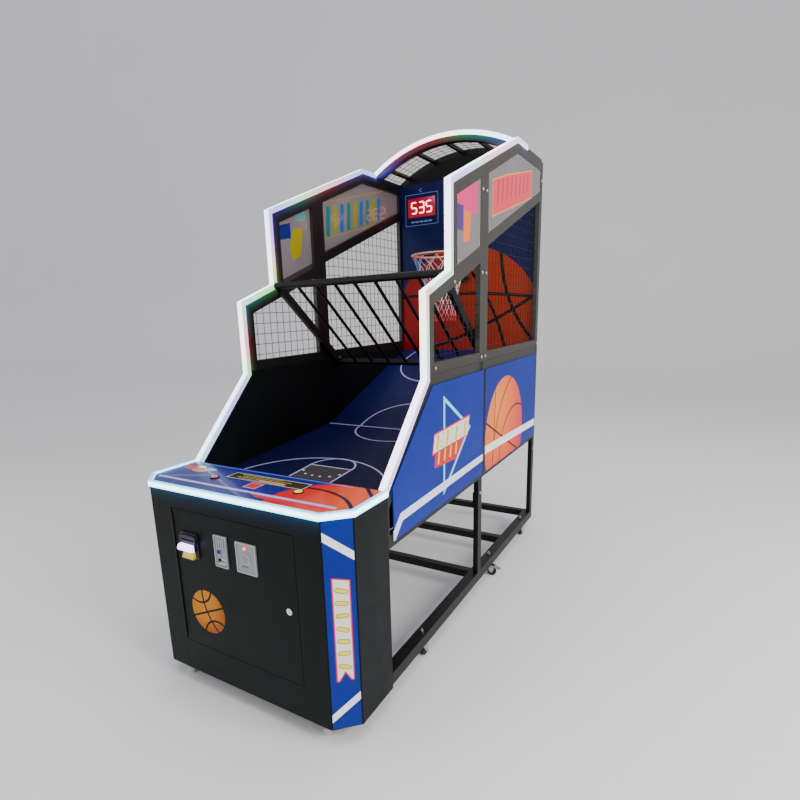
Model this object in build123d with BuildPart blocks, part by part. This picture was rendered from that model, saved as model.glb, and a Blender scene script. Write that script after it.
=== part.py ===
from build123d import *
import os
from math import atan2, cos, hypot, radians, sin, sqrt

# Arcade basketball machine: a coin cabinet in front of a caged ball run with a hoop.
# Millimetres. +Z is up and the floor is z = 0. The player stands on the -Y side, and +X is
# the player's right. The origin is on the floor, in the middle of the overall length and width.

os.makedirs("parts", exist_ok=True)

# ---------------------------------------------------------------- driving dimensions
overall_length = 2310.0     # tip of the bill snout to the rear posts
overall_width = 1000.0      # over the cabinet's light strip
overall_height = 2480.0     # floor to the crown of the arch
bill_reach = 30.0           # the bill snout in front of the light strip

cabinet_depth = 300.0
cabinet_height = 870.0      # to the top of the light strip
corner_cut = 84.0           # the chamfered front corners, measured on each side
board = 15.0                # cabinet board thickness
strip_proud = 5.0           # the light strip stands out past the boards
strip_width = 15.0
strip_height = 24.0
deck_thickness = 18.0

side_inset = 10.0           # side walls, inside the overall width
tube_depth = 25.0           # side wall tube across the wall
tube_width = 50.0           # side wall tube in the wall's plane
tube_wall = 1.5
rail_size = 50.0            # square base rail
skin = 4.0                  # blue side panels
liner_thickness = 3.0
led_width = 25.0            # light strip on the side walls
gap = 0.3                   # between pieces that lie beside each other
weld = 0.2                  # between the tubes of one welded frame
wire = 3.0                  # mesh wire
mesh_pitch = 50.0

# The stepped front outline of the side walls: (distance behind the cabinet front, height)
throat = (645.0, 1216.0)    # top of the lower slope
brow = (645.0, 1550.0)      # top of the first upright
shelf = (883.0, 1635.0)     # foot of the second upright
eave = (883.0, 1985.0)      # top of the second upright
top_height = 2328.0         # flat top of the side walls
ridge_length = 512.0        # flat top, from its front end to the rear
arch_length = 350.0         # the vaulted roof

seam = 1285.0               # where the front and rear modules meet, behind the cabinet front
lower_bottom = 636.0        # underside of the lower side frames
lower_top = 1227.0          # top of the lower side frames
panel_bottom = 656.0        # blue side panels
panel_top = 1185.0
rear_slant_height = 1818.0  # upper edge of the rear slanted tube at its front end
rear_slant_rise = 319.158   # the same edge climbs this much on its way to the rear post

ramp_front_height = 775.0   # top of the ramp at the cabinet
crease_height = 850.0       # top of the ramp at the crease
crease = 1300.0             # the crease, behind the cabinet front
ramp_rear_height = 1208.0
ramp_thickness = 9.0

backboard_thickness = 10.0
backboard_bottom = 1196.0
display_width = 200.0
display_height = 120.0
display_pitch = 302.0
display_centre = 2155.0     # height of the number windows

rim_radius = 172.0          # to the middle of the ring's rod
rim_rod = 8.0
rim_height = 1800.0
rim_reach = 365.0           # backboard to the middle of the ring
net_length = 380.0
net_mouth = 82.0            # radius of the net's lower end
net_wall = 3.0

guard_height = 1626.0       # the guard's top bar
guard_front = 898.0
guard_tube = 17.0           # top bar radius
guard_drop = 430.0
guard_run = 520.0
guard_bars = 7
guard_pitch = 110.0
guard_bar_radius = 8.0

door_width = 600.0
door_height = 570.0
door_bottom = 205.0
door_sheet = 2.0
door_flange = 15.0
door_gap = 2.0
hinge_gap = 6.0
knuckle_radius = 3.0
pin_radius = 1.5
running = 0.05              # radial clearance of pins and shafts

button_radius = 15.5
button_travel = 3.0
button_spacing = 424.0
bezel_rim = 4.0             # bezel flange past the button

wheel_radius = 25.0
wheel_width = 20.0
wheel_headroom = 20.0       # wheel top to the underside of the rails and cabinet
trail = 20.0                # wheel axle behind the swivel axis
axle_radius = 4.0
stem_radius = 5.0
foot_radius = 16.5
foot_spacing = 720.0

# ---------------------------------------------------------------- places worked out from them
front = -overall_length / 2 + bill_reach        # front of the cabinet's light strip
rear = overall_length / 2
half = overall_width / 2
wall_face = half - side_inset                   # outer face of the blue panels
tube_out = wall_face - skin                     # outer face of the side wall tubes
tube_in = tube_out - tube_depth
liner_in = tube_in - liner_thickness
ramp_half = liner_in - 1.0
cabinet_back = front + cabinet_depth
seam_y = front + seam
crease_y = front + crease
front_post = seam_y - tube_width                # front face of the front module's rear post
rear_module = seam_y + 1.0
rear_post = rear - tube_width
board_face = rear - 30.0                        # front face of the backboard
ground_clearance = 2 * wheel_radius + wheel_headroom
rail_top = ground_clearance + rail_size
deck_top = cabinet_height - strip_height + deck_thickness
deck_bottom = cabinet_height - strip_height
face = front + strip_proud                      # front face of the cabinet boards and door
ridge_y = rear - ridge_length
arch_y = rear - arch_length


def offset_path(points, distance):
    """Points of a polyline moved sideways by a distance, to the right of its direction, with mitres."""
    normals = []
    for (a, b), (c, d) in zip(points, points[1:]):
        length = hypot(c - a, d - b)
        normals.append(((d - b) / length, -(c - a) / length))
    moved = []
    for index, (y, z) in enumerate(points):
        before = normals[max(index - 1, 0)]
        after = normals[min(index, len(normals) - 1)]
        scale = distance / (1 + before[0] * after[0] + before[1] * after[1])
        moved.append((y + scale * (before[0] + after[0]), z + scale * (before[1] + after[1])))
    return moved


def height_on(start, end, y):
    """Height at y of the straight line through two points of a side view."""
    return start[1] + (end[1] - start[1]) * (y - start[0]) / (end[0] - start[0])


def between(a, b, share):
    """The point a share of the way from a to b."""
    return (a[0] + (b[0] - a[0]) * share, a[1] + (b[1] - a[1]) * share)


def side_plate(points, low, high):
    """A flat plate with a side-view outline (y, z), from x = low to x = high."""
    with BuildPart() as plate:
        with BuildSketch(Plane.YZ.offset(low)):
            with BuildLine():
                Polyline(*points, close=True)
            make_face()
        extrude(amount=high - low)
    return plate.part


def side_tube(corners, low, high, width=tube_width):
    """A rectangular tube in a side wall. corners run round its side view: start and end of its
    outer line, then end and start of its inner line. The ends stay open, as on a mitred tube."""
    outer_a, outer_b, inner_b, inner_a = corners
    length = hypot(outer_b[0] - outer_a[0], outer_b[1] - outer_a[1])
    along = ((outer_b[0] - outer_a[0]) / length, (outer_b[1] - outer_a[1]) / length)

    def slid(point, distance):
        return (point[0] + along[0] * distance, point[1] + along[1] * distance)

    trim = weld / 2
    body = [slid(outer_a, trim), slid(outer_b, -trim), slid(inner_b, -trim), slid(inner_a, trim)]
    share = tube_wall / width
    bore = [
        slid(between(outer_a, inner_a, share), -1),
        slid(between(outer_b, inner_b, share), 1),
        slid(between(inner_b, outer_b, share), 1),
        slid(between(inner_a, outer_a, share), -1),
    ]
    with BuildPart() as tube:
        with BuildSketch(Plane.YZ.offset(low)):
            with BuildLine():
                Polyline(*body, close=True)
            make_face()
        extrude(amount=high - low)
        with BuildSketch(Plane.YZ.offset(low + tube_wall)):
            with BuildLine():
                Polyline(*bore, close=True)
            make_face()
        extrude(amount=high - low - 2 * tube_wall, mode=Mode.SUBTRACT)
    return tube.part


def box_tube(low, high, axis):
    """A straight rectangular tube that fills the box from low to high, bored along axis X, Y or Z."""
    size = [b - a for a, b in zip(low, high)]
    middle = tuple((a + b) / 2 for a, b in zip(low, high))
    bore = [s - 2 * tube_wall for s in size]
    bore["XYZ".index(axis)] = size["XYZ".index(axis)] + 2
    with BuildPart() as tube:
        with Locations(middle):
            Box(*size)
            Box(*bore, mode=Mode.SUBTRACT)
    return tube.part


def block(low, high):
    """A plain box from one corner to the other."""
    with BuildPart() as solid:
        with Locations(tuple((a + b) / 2 for a, b in zip(low, high))):
            Box(*[b - a for a, b in zip(low, high)])
    return solid.part


def both_sides(pieces):
    """The pieces of the right-hand wall and their mirror images on the left."""
    return pieces + [piece.mirror(Plane.YZ) for piece in pieces]


def plan_plate(points, low, high):
    """A flat plate with a plan outline (x, y), from z = low to z = high."""
    with BuildPart() as plate:
        with BuildSketch(Plane.XY.offset(low)):
            with BuildLine():
                Polyline(*points, close=True)
            make_face()
        extrude(amount=high - low)
    return plate.part


# ---------------------------------------------------------------- cabinet
def cabinet_outline(inset):
    """Plan points of the cabinet from the right rear round the front to the left rear, set in."""
    points = [
        (half, cabinet_back),
        (half, front + corner_cut),
        (half - corner_cut, front),
        (-half + corner_cut, front),
        (-half, front + corner_cut),
        (-half, cabinet_back),
    ]
    return offset_path(points, inset)


board_outer = cabinet_outline(strip_proud)
board_inner = cabinet_outline(strip_proud + board)
cabinet_bottom = ground_clearance
board_top = deck_bottom - gap
door_left = -(door_width / 2) + 3.0             # left edge of the door
door_right = door_left + door_width
opening_left = door_left - hinge_gap
opening_right = door_right + door_gap
door_top = door_bottom + door_height
opening_low = door_bottom - door_gap
opening_high = door_top + door_gap
inlet_x = 300.0
inlet_z = 180.0
inlet_width = 28.0
inlet_height = 20.4

walls = []
for index in (0, 1, 3, 4):
    a, b = board_outer[index], board_outer[index + 1]
    c, d = board_inner[index + 1], board_inner[index]
    length = hypot(b[0] - a[0], b[1] - a[1])
    step = (weld / 2 * (b[0] - a[0]) / length, weld / 2 * (b[1] - a[1]) / length)
    quad = [
        (a[0] + step[0], a[1] + step[1]),
        (b[0] - step[0], b[1] - step[1]),
        (c[0] - step[0], c[1] - step[1]),
        (d[0] + step[0], d[1] + step[1]),
    ]
    walls.append(plan_plate(quad, cabinet_bottom, board_top))
stile_out = board_inner[2][0]
stile_corner = board_outer[2][0]
for sign, opening_edge in ((1, opening_right), (-1, -opening_left)):
    quad = [
        (sign * opening_edge, face),
        (sign * (stile_corner - weld), face),
        (sign * (stile_out - weld), face + board),
        (sign * opening_edge, face + board),
    ]
    walls.append(plan_plate(quad, cabinet_bottom, board_top))
walls.append(
    block((opening_left + weld, face, opening_high), (opening_right - weld, face + board, board_top))
)
walls.append(
    block((opening_left + weld, face, cabinet_bottom), (opening_right - weld, face + board, opening_low))
)
back_half = half - strip_proud - board - weld
floor_points = offset_path(cabinet_outline(strip_proud + board + weld), 0.0)
floor_points[0] = (floor_points[0][0], cabinet_back - board - weld)
floor_points[-1] = (floor_points[-1][0], cabinet_back - board - weld)
walls.append(plan_plate(floor_points, cabinet_bottom, cabinet_bottom + board))

# The rear board, with the cut-out that the mains inlet sits in.
with BuildPart() as rear_wall:
    with BuildSketch(Plane.XZ.offset(-cabinet_back)):
        with Locations((0, (cabinet_bottom + board_top) / 2)):
            Rectangle(2 * back_half, board_top - cabinet_bottom)
        with Locations((inlet_x, inlet_z)):
            Rectangle(inlet_width, inlet_height, mode=Mode.SUBTRACT)
    extrude(amount=board)
walls.append(rear_wall.part)

with BuildPart() as cabinet_shell:
    add(walls)
cabinet_shell.part.label = "cabinet_shell"
export_step(cabinet_shell.part, "parts/cabinet_shell.step")

# Printed sheets on the two chamfered corners.
corner_sheet = 1.5
corner_margin = 3.0
sheets = []
for sign in (1, -1):
    near, far = (half - corner_cut, front), (half, front + corner_cut)
    inner = offset_path([near, far], -strip_proud)
    outer = offset_path([near, far], -(strip_proud - corner_sheet))
    length = hypot(far[0] - near[0], far[1] - near[1])
    share = (corner_margin + strip_proud) / length
    quad = [
        between(inner[0], inner[1], share),
        between(inner[0], inner[1], 1 - share),
        between(outer[0], outer[1], 1 - share),
        between(outer[0], outer[1], share),
    ]
    sheets.append(plan_plate([(sign * x, y) for x, y in quad], cabinet_bottom + 4, board_top - 4))
with BuildPart() as corner_panels:
    add(sheets)
corner_panels.part.label = "corner_panels"
export_step(corner_panels.part, "parts/corner_panels.step")

# The light strip round the cabinet's top edge, in mitred lengths.
strip_outer = cabinet_outline(0.0)
strip_inner = cabinet_outline(strip_width)
lengths = []
for a, b, c, d in zip(strip_outer, strip_outer[1:], strip_inner[1:], strip_inner):
    run = hypot(b[0] - a[0], b[1] - a[1])
    step = (weld / 2 * (b[0] - a[0]) / run, weld / 2 * (b[1] - a[1]) / run)
    quad = [
        (a[0] + step[0], a[1] + step[1]),
        (b[0] - step[0], b[1] - step[1]),
        (c[0] - step[0], c[1] - step[1]),
        (d[0] + step[0], d[1] + step[1]),
    ]
    lengths.append(plan_plate(quad, deck_bottom, cabinet_height))
with BuildPart() as cabinet_led:
    add(lengths)
cabinet_led.part.label = "cabinet_led"
export_step(cabinet_led.part, "parts/cabinet_led.step")

# The deck: a board with two button holes and a shallow pocket for the instruction window.
button_y = front + 158.0
bezel_sleeve = 2.0
sleeve_clear = 0.3
window_x = 15.0
window_width = 390.0
window_depth = 74.0
window_sheet = 3.0
window_clear = 1.5
window_y = button_y + button_radius + bezel_rim + window_clear + window_depth / 2
sleeve_radius = button_radius + sleeve_clear + bezel_sleeve
with BuildPart() as control_panel:
    with BuildSketch(Plane.XY.offset(deck_bottom)):
        with BuildLine():
            Polyline(*cabinet_outline(strip_width + gap), close=True)
        make_face()
        with Locations((-button_spacing / 2, button_y), (button_spacing / 2, button_y)):
            Circle(sleeve_radius + sleeve_clear, mode=Mode.SUBTRACT)
    extrude(amount=deck_thickness)
    with BuildSketch(Plane.XY.offset(deck_top)):
        with Locations((window_x, window_y)):
            RectangleRounded(window_width + 2 * gap, window_depth + 2 * gap, 6)
    extrude(amount=-window_sheet, mode=Mode.SUBTRACT)
control_panel.part.label = "control_panel"
export_step(control_panel.part, "parts/control_panel.step")

with BuildPart() as instruction_window:
    with BuildSketch(Plane.XY.offset(deck_top - window_sheet)):
        with Locations((window_x, window_y)):
            RectangleRounded(window_width, window_depth, 6 - gap)
    extrude(amount=window_sheet + 1)
instruction_window.part.label = "instruction_window"
export_step(instruction_window.part, "parts/instruction_window.step")

# Play buttons: a domed cap on a stem, guided by a bezel with a switch holder under the deck.
cap_top = deck_top + 9.0
cap_dome = 4.0
dome_radius = (button_radius ** 2 + cap_dome ** 2) / (2 * cap_dome)
dome_mid = dome_radius - sqrt(dome_radius ** 2 - (button_radius / 2) ** 2)
button_stem = 5.0
stem_end = deck_bottom - 6.0
for name, x in (("button_red", -button_spacing / 2), ("button_yellow", button_spacing / 2)):
    with BuildPart() as button:
        with BuildSketch(Plane.XZ):
            with BuildLine():
                Polyline(
                    (0, cap_top), (0, stem_end), (button_stem, stem_end), (button_stem, deck_top - 6),
                    (button_radius, deck_top - 6), (button_radius, cap_top - cap_dome),
                )
                ThreePointArc(
                    (button_radius, cap_top - cap_dome), (button_radius / 2, cap_top - dome_mid), (0, cap_top)
                )
            make_face()
        revolve(axis=Axis.Z)
    button.part.position = (x, button_y, 0)
    button.part.label = name
    export_step(button.part, f"parts/{name}.step")

bezel_bore = button_radius + sleeve_clear
switch_top = deck_bottom - 10.0
switch_clear = 1.2
bezels = []
for x in (-button_spacing / 2, button_spacing / 2):
    with BuildPart() as ring:
        with Locations((x, button_y, deck_top)):
            Cylinder(button_radius + bezel_rim, 4, align=(Align.CENTER, Align.CENTER, Align.MIN))
            Cylinder(sleeve_radius, deck_thickness, align=(Align.CENTER, Align.CENTER, Align.MAX))
        with Locations((x, button_y, deck_bottom)):
            Cylinder(bezel_bore, deck_thickness + 10, align=(Align.CENTER, Align.CENTER, Align.MIN),
                     mode=Mode.SUBTRACT)
        chamfer(ring.edges().group_by(Axis.Z)[-1].sort_by(SortBy.LENGTH)[-1], 1.5)
    bezels.append(ring.part)
    with BuildPart() as switch:
        with BuildSketch(Plane.XY.offset(switch_top)):
            with Locations((x, button_y)):
                Circle(bezel_bore + 1)
                Circle(button_stem + switch_clear, mode=Mode.SUBTRACT)
        extrude(amount=deck_bottom - gap - switch_top)
        with BuildSketch(Plane.XY.offset(switch_top)):
            with Locations((x, button_y)):
                Rectangle(20, 14)
        extrude(amount=-18)
    bezels.append(switch.part)
with BuildPart() as button_bezels:
    add(bezels)
button_bezels.part.label = "button_bezels"
export_step(button_bezels.part, "parts/button_bezels.step")

# ---------------------------------------------------------------- service door
door_back = face + door_sheet
bill_x = -211.0
bill_z = 637.0
bill_width = 94.0
bill_height = 104.0
slot_width = 72.0
slot_height = 5.0
slot_z = bill_z + 27.0
narrow_x = -43.0
narrow_width = 65.0
narrow_height = 126.0
narrow_z = 646.0
wide_x = 83.0
wide_width = 98.0
wide_height = 119.0
wide_z = 645.0
lock_x = door_right - 38.0
lock_z = 488.0
lock_radius = 9.5
plate = 4.0
flap_width = 40.0
flap_height = 26.0
flap_top = narrow_z - narrow_height / 2 + 34.0
reject_z = wide_z + wide_height / 2 - 18.0
reject_radius = 7.5

with BuildPart() as front_door:
    with BuildSketch(Plane.XZ.offset(-face)):
        with Locations(((door_left + door_right) / 2, (door_bottom + door_top) / 2)):
            Rectangle(door_width, door_height)
    extrude(amount=-door_flange)
    with BuildSketch(Plane.XZ.offset(-door_back)):
        with Locations(((door_left + door_right) / 2, (door_bottom + door_top) / 2)):
            Rectangle(door_width - 2 * door_sheet, door_height - 2 * door_sheet)
    extrude(amount=-door_flange, mode=Mode.SUBTRACT)
    with BuildSketch(Plane.XZ.offset(-face)):
        with Locations((bill_x, bill_z)):
            Rectangle(slot_width + 10, bill_height - 14)
        with Locations((narrow_x, narrow_z)):
            Rectangle(narrow_width - 12, narrow_height - 14)
        with Locations((wide_x, wide_z)):
            Rectangle(wide_width - 16, wide_height - 16)
        with Locations((lock_x, lock_z)):
            Circle(lock_radius + 0.3)
    extrude(amount=-door_sheet, mode=Mode.SUBTRACT)
front_door.part.label = "front_door"
export_step(front_door.part, "parts/front_door.step")

# Piano hinge: knuckles alternate along a pin that stands just in front of the left edge.
hinge_x = door_left - hinge_gap / 2
hinge_y = face - knuckle_radius - 0.2
hinge_low = door_bottom + 20.0
hinge_high = door_top - 20.0
knuckle_count = 9
knuckle_pitch = (hinge_high - hinge_low) / knuckle_count
leaf = 1.0
leaf_depth = door_flange - 1.0


def hinge_leaf(edge, own, first):
    """One leaf of the hinge: a strip along the gap, bent round the pin at every other knuckle.
    edge is the leaf's far side, own its near side, and first says which knuckle it starts at."""
    low_x, high_x = sorted((edge, own))
    with BuildPart() as strip:
        for index in range(first, knuckle_count, 2):
            low = hinge_low + index * knuckle_pitch + gap / 2
            with Locations((hinge_x, hinge_y, low)):
                Cylinder(knuckle_radius, knuckle_pitch - gap, align=(Align.CENTER, Align.CENTER, Align.MIN))
            with Locations(((low_x + high_x) / 2, (hinge_y + face + 2) / 2, low)):
                Box(high_x - low_x, face + 2 - hinge_y, knuckle_pitch - gap,
                    align=(Align.CENTER, Align.CENTER, Align.MIN))
        with Locations(((low_x + high_x) / 2, face + 0.8 + (leaf_depth - 0.8) / 2, hinge_low)):
            Box(high_x - low_x, leaf_depth - 0.8, hinge_high - hinge_low,
                align=(Align.CENTER, Align.CENTER, Align.MIN))
        with Locations((hinge_x, hinge_y, hinge_low)):
            Cylinder(pin_radius + running, hinge_high - hinge_low + 4, mode=Mode.SUBTRACT,
                     align=(Align.CENTER, Align.CENTER, Align.MIN))
    return strip.part


with BuildPart() as hinge_fixed_leaf:
    add(hinge_leaf(opening_left, opening_left + leaf, 0))
    with Locations((hinge_x, hinge_y, hinge_low - 1)):
        Cylinder(pin_radius, hinge_high - hinge_low + 2, align=(Align.CENTER, Align.CENTER, Align.MIN))
hinge_fixed_leaf.part.label = "hinge_fixed_leaf"
export_step(hinge_fixed_leaf.part, "parts/hinge_fixed_leaf.step")

with BuildPart() as hinge_door_leaf:
    add(hinge_leaf(door_left, door_left - leaf, 1))
hinge_door_leaf.part.label = "hinge_door_leaf"
export_step(hinge_door_leaf.part, "parts/hinge_door_leaf.step")

# Cam lock: the barrel turns in the door, and its cam hangs down when it is unlocked.
cam_y = face + door_flange + 3.0
cam_reach = 52.0
with BuildPart() as door_lock:
    with BuildSketch(Plane.XZ.offset(-(face - 3))):
        with Locations((lock_x, lock_z)):
            Circle(lock_radius + 3)
    extrude(amount=-(3 - gap))
    with BuildSketch(Plane.XZ.offset(-(face - gap))):
        with Locations((lock_x, lock_z)):
            Circle(lock_radius)
    extrude(amount=-(cam_y + 3 - face + gap))
    with BuildSketch(Plane.XZ.offset(-cam_y)):
        with Locations((lock_x, lock_z - cam_reach / 2)):
            SlotCenterToCenter(cam_reach - 10, 16, rotation=90)
    extrude(amount=-3)
    with BuildSketch(Plane.XZ.offset(-(face - 3))):
        with Locations((lock_x, lock_z)):
            Rectangle(2, 8)
    extrude(amount=-2, mode=Mode.SUBTRACT)
door_lock.part.label = "door_lock"
export_step(door_lock.part, "parts/door_lock.step")

# Bill bezel: a rounded plate with the slot, a lit snout below it and a tray under the snout.
bezel_plate = 6.0
snout_front = front - bill_reach
snout_top = bill_z + 12.0
snout_bottom = bill_z - 14.0
tray_bottom = bill_z - bill_height / 2 + 4.0
with BuildPart() as bill_bezel:
    with BuildSketch(Plane.XZ.offset(-face)):
        with Locations((bill_x, bill_z)):
            RectangleRounded(bill_width, bill_height, 12)
    extrude(amount=bezel_plate)
    with BuildSketch(Plane.XZ.offset(-(face - bezel_plate))):
        with Locations((bill_x, slot_z)):
            RectangleRounded(slot_width + 14, 36, 12)
    extrude(amount=9)
    with BuildSketch(Plane.YZ.offset(bill_x - 36)):
        with BuildLine():
            Polyline(
                (face - bezel_plate, snout_top), (snout_front + 8, snout_top - 2),
                (snout_front, snout_top - 10), (snout_front, snout_bottom + 4),
                (face - bezel_plate - 4, snout_bottom - 6), (face - bezel_plate, snout_bottom - 6), close=True,
            )
        make_face()
    extrude(amount=72)
    with BuildSketch(Plane.YZ.offset(bill_x - 30)):
        with BuildLine():
            Polyline(
                (face - bezel_plate, snout_bottom - 6), (face - bezel_plate - 4, snout_bottom - 6),
                (face - bezel_plate - 16, tray_bottom + 6), (face - bezel_plate - 16, tray_bottom),
                (face - bezel_plate, tray_bottom), close=True,
            )
        make_face()
    extrude(amount=60)
    with Locations((bill_x, face, slot_z)):
        Box(slot_width, 80, slot_height, mode=Mode.SUBTRACT)
bill_bezel.part.label = "bill_bezel"
export_step(bill_bezel.part, "parts/bill_bezel.step")

validator_depth = 115.0
slot_depth = 70.0
with BuildPart() as bill_validator:
    with Locations((bill_x, door_back + gap, bill_z)):
        Box(slot_width + 8, validator_depth, bill_height - 16, align=(Align.CENTER, Align.MIN, Align.CENTER))
    with Locations((bill_x, door_back, slot_z)):
        Box(slot_width, slot_depth, slot_height, align=(Align.CENTER, Align.MIN, Align.CENTER),
            mode=Mode.SUBTRACT)
    fillet(bill_validator.edges().filter_by(Axis.X).group_by(Axis.Y)[-1], 12)
bill_validator.part.label = "bill_validator"
export_step(bill_validator.part, "parts/bill_validator.step")

# Coin plates: a narrow one with ribs, an insert and a return mouth, and a wide one with a coin
# ring, a slot and the hole of the reject button.
coin_slot = 3.5
with BuildPart() as narrow_plate:
    with BuildSketch(Plane.XZ.offset(-face)):
        with Locations((narrow_x, narrow_z)):
            RectangleRounded(narrow_width, narrow_height, 3)
    extrude(amount=plate)
    with BuildSketch(Plane.XZ.offset(-(face - plate))):
        with Locations((narrow_x, narrow_z)):
            RectangleRounded(narrow_width - 2, narrow_height - 2, 2.5)
            RectangleRounded(narrow_width - 9, narrow_height - 9, 2, mode=Mode.SUBTRACT)
        with Locations((narrow_x, narrow_z + 32)):
            with GridLocations(11, 1, 4, 1):
                RectangleRounded(4, 42, 1.9)
        with Locations((narrow_x - 8, narrow_z - 2)):
            RectangleRounded(20, 14, 2)
    extrude(amount=3)
    with Locations((narrow_x + 2, face - plate, narrow_z - 17)):
        Box(coin_slot, 30, 12, mode=Mode.SUBTRACT)
    with Locations((narrow_x, face - plate, flap_top - flap_height / 2)):
        Box(flap_width + 1.2, 30, flap_height + 1.2, mode=Mode.SUBTRACT)
with BuildPart() as wide_plate:
    with BuildSketch(Plane.XZ.offset(-face)):
        with Locations((wide_x, wide_z)):
            RectangleRounded(wide_width, wide_height, 4)
    extrude(amount=plate)
    with BuildSketch(Plane.XZ.offset(-(face - plate))):
        with Locations((wide_x, wide_z)):
            RectangleRounded(wide_width - 2, wide_height - 2, 3.5)
            RectangleRounded(wide_width - 12, wide_height - 12, 3, mode=Mode.SUBTRACT)
        with Locations((wide_x, wide_z)):
            Circle(21)
            Circle(17, mode=Mode.SUBTRACT)
        with Locations((wide_x + 10, wide_z)):
            RectangleRounded(9, 24, 3)
    extrude(amount=2)
    with Locations((wide_x + 10, face - plate, wide_z)):
        Box(coin_slot, 30, 16, mode=Mode.SUBTRACT)
    with Locations((wide_x - 8, face - plate, wide_z - 32)):
        Box(30, 30, coin_slot, mode=Mode.SUBTRACT)
    with BuildSketch(Plane.XZ.offset(-face)):
        with Locations((wide_x, reject_z)):
            Circle(reject_radius + gap)
    extrude(amount=plate + 3, mode=Mode.SUBTRACT)
with BuildPart() as coin_plates:
    add([narrow_plate.part, wide_plate.part])
coin_plates.part.label = "coin_plates"
export_step(coin_plates.part, "parts/coin_plates.step")

# The reject button slides through the wide plate and stops against its own collar.
reject_travel = 3.0
with BuildPart() as reject_button:
    with BuildSketch(Plane.XZ.offset(-(face - plate - 7))):
        with Locations((wide_x, reject_z)):
            Circle(reject_radius)
    extrude(amount=-(7 + plate + 6))
    with BuildSketch(Plane.XZ.offset(-(face + gap))):
        with Locations((wide_x, reject_z)):
            Circle(reject_radius + 2)
    extrude(amount=-2)
    fillet(reject_button.edges().filter_by(GeomType.CIRCLE).group_by(Axis.Y)[0], 2)
reject_button.part.label = "reject_button"
export_step(reject_button.part, "parts/reject_button.step")

# The return flap hangs from a pin behind the plate and swings inwards. Its scoop shows in the mouth.
flap_pin = 1.5
flap_hub = 2.6
flap_sheet = 4.0
pin_y = face + 5.0
pin_z = flap_top - 3.0
pin_end = flap_width / 2 + 4.5
with BuildPart() as return_flap:
    with Locations((narrow_x, pin_y, pin_z)):
        Cylinder(flap_hub, flap_width - 1, rotation=(0, 90, 0))
        Cylinder(flap_pin, 2 * pin_end, rotation=(0, 90, 0))
    with Locations((narrow_x, pin_y + 0.5, pin_z)):
        Box(flap_width - 1, flap_sheet, flap_height - 4, align=(Align.CENTER, Align.MIN, Align.MAX))
    with BuildSketch(Plane.YZ.offset(narrow_x - flap_width / 2 + 0.5)):
        with BuildLine():
            Polyline((pin_y + 1, pin_z - 8), (pin_y - 12, pin_z - 17.5), (pin_y - 12, pin_z - 19.5),
                     (pin_y + 1, pin_z - 11), close=True)
        make_face()
    extrude(amount=flap_width - 1)
return_flap.part.label = "return_flap"
export_step(return_flap.part, "parts/return_flap.step")

# Coin mechanisms behind the plates. The narrow one carries the flap's pin in two lugs, and stops
# short of the flap's swing.
mech_depth = 95.0
mech_front = door_back + gap
with BuildPart() as narrow_mech:
    with Locations((narrow_x, mech_front, pin_z + 6)):
        Box(narrow_width - 14, mech_depth, narrow_height - 45, align=(Align.CENTER, Align.MIN, Align.MIN))
    for side in (-1, 1):
        with Locations((narrow_x + side * (narrow_width / 2 - 9), mech_front, pin_z)):
            Box(4, 8, 14, align=(Align.CENTER, Align.MIN, Align.CENTER))
    with Locations((narrow_x + 2, mech_front, narrow_z - 17)):
        Box(coin_slot, mech_depth - 20, 12, align=(Align.CENTER, Align.MIN, Align.CENTER), mode=Mode.SUBTRACT)
    with Locations((narrow_x, pin_y, pin_z)):
        Cylinder(flap_pin + running, narrow_width, rotation=(0, 90, 0), mode=Mode.SUBTRACT)
with BuildPart() as wide_mech:
    with Locations((wide_x, mech_front + 12, wide_z)):
        Box(wide_width - 18, mech_depth - 12, wide_height - 18, align=(Align.CENTER, Align.MIN, Align.CENTER))
    with Locations((wide_x + 10, mech_front + 12, wide_z)):
        Box(coin_slot, mech_depth - 40, 16, align=(Align.CENTER, Align.MIN, Align.CENTER), mode=Mode.SUBTRACT)
with BuildPart() as coin_mechs:
    add([narrow_mech.part, wide_mech.part])
coin_mechs.part.label = "coin_mechs"
export_step(coin_mechs.part, "parts/coin_mechs.step")

# ---------------------------------------------------------------- inside the cabinet
cabinet_floor = cabinet_bottom + board + gap
box_wall = 1.5
coin_box_size = (240.0, 150.0, 110.0)
with BuildPart() as coin_box:
    with Locations((20, front + 150, cabinet_floor)):
        Box(*coin_box_size, align=(Align.CENTER, Align.CENTER, Align.MIN))
    with Locations((20, front + 150, cabinet_floor + box_wall)):
        Box(coin_box_size[0] - 2 * box_wall, coin_box_size[1] - 2 * box_wall, coin_box_size[2],
            align=(Align.CENTER, Align.CENTER, Align.MIN), mode=Mode.SUBTRACT)
coin_box.part.label = "coin_box"
export_step(coin_box.part, "parts/coin_box.step")

rear_inside = cabinet_back - board - gap
with BuildPart() as game_board:
    with Locations((-150, rear_inside, 560)):
        Box(230, 55, 200, align=(Align.CENTER, Align.MAX, Align.CENTER))
    fillet(game_board.edges().filter_by(Axis.Y), 6)
game_board.part.label = "game_board"
export_step(game_board.part, "parts/game_board.step")

with BuildPart() as power_supply:
    with Locations((-150, rear_inside, 330)):
        Box(200, 50, 110, align=(Align.CENTER, Align.MAX, Align.CENTER))
    with Locations((-150, rear_inside - 50, 330)):
        with GridLocations(14, 1, 9, 1):
            Box(5, 4, 60, mode=Mode.SUBTRACT)
power_supply.part.label = "power_supply"
export_step(power_supply.part, "parts/power_supply.step")

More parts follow.
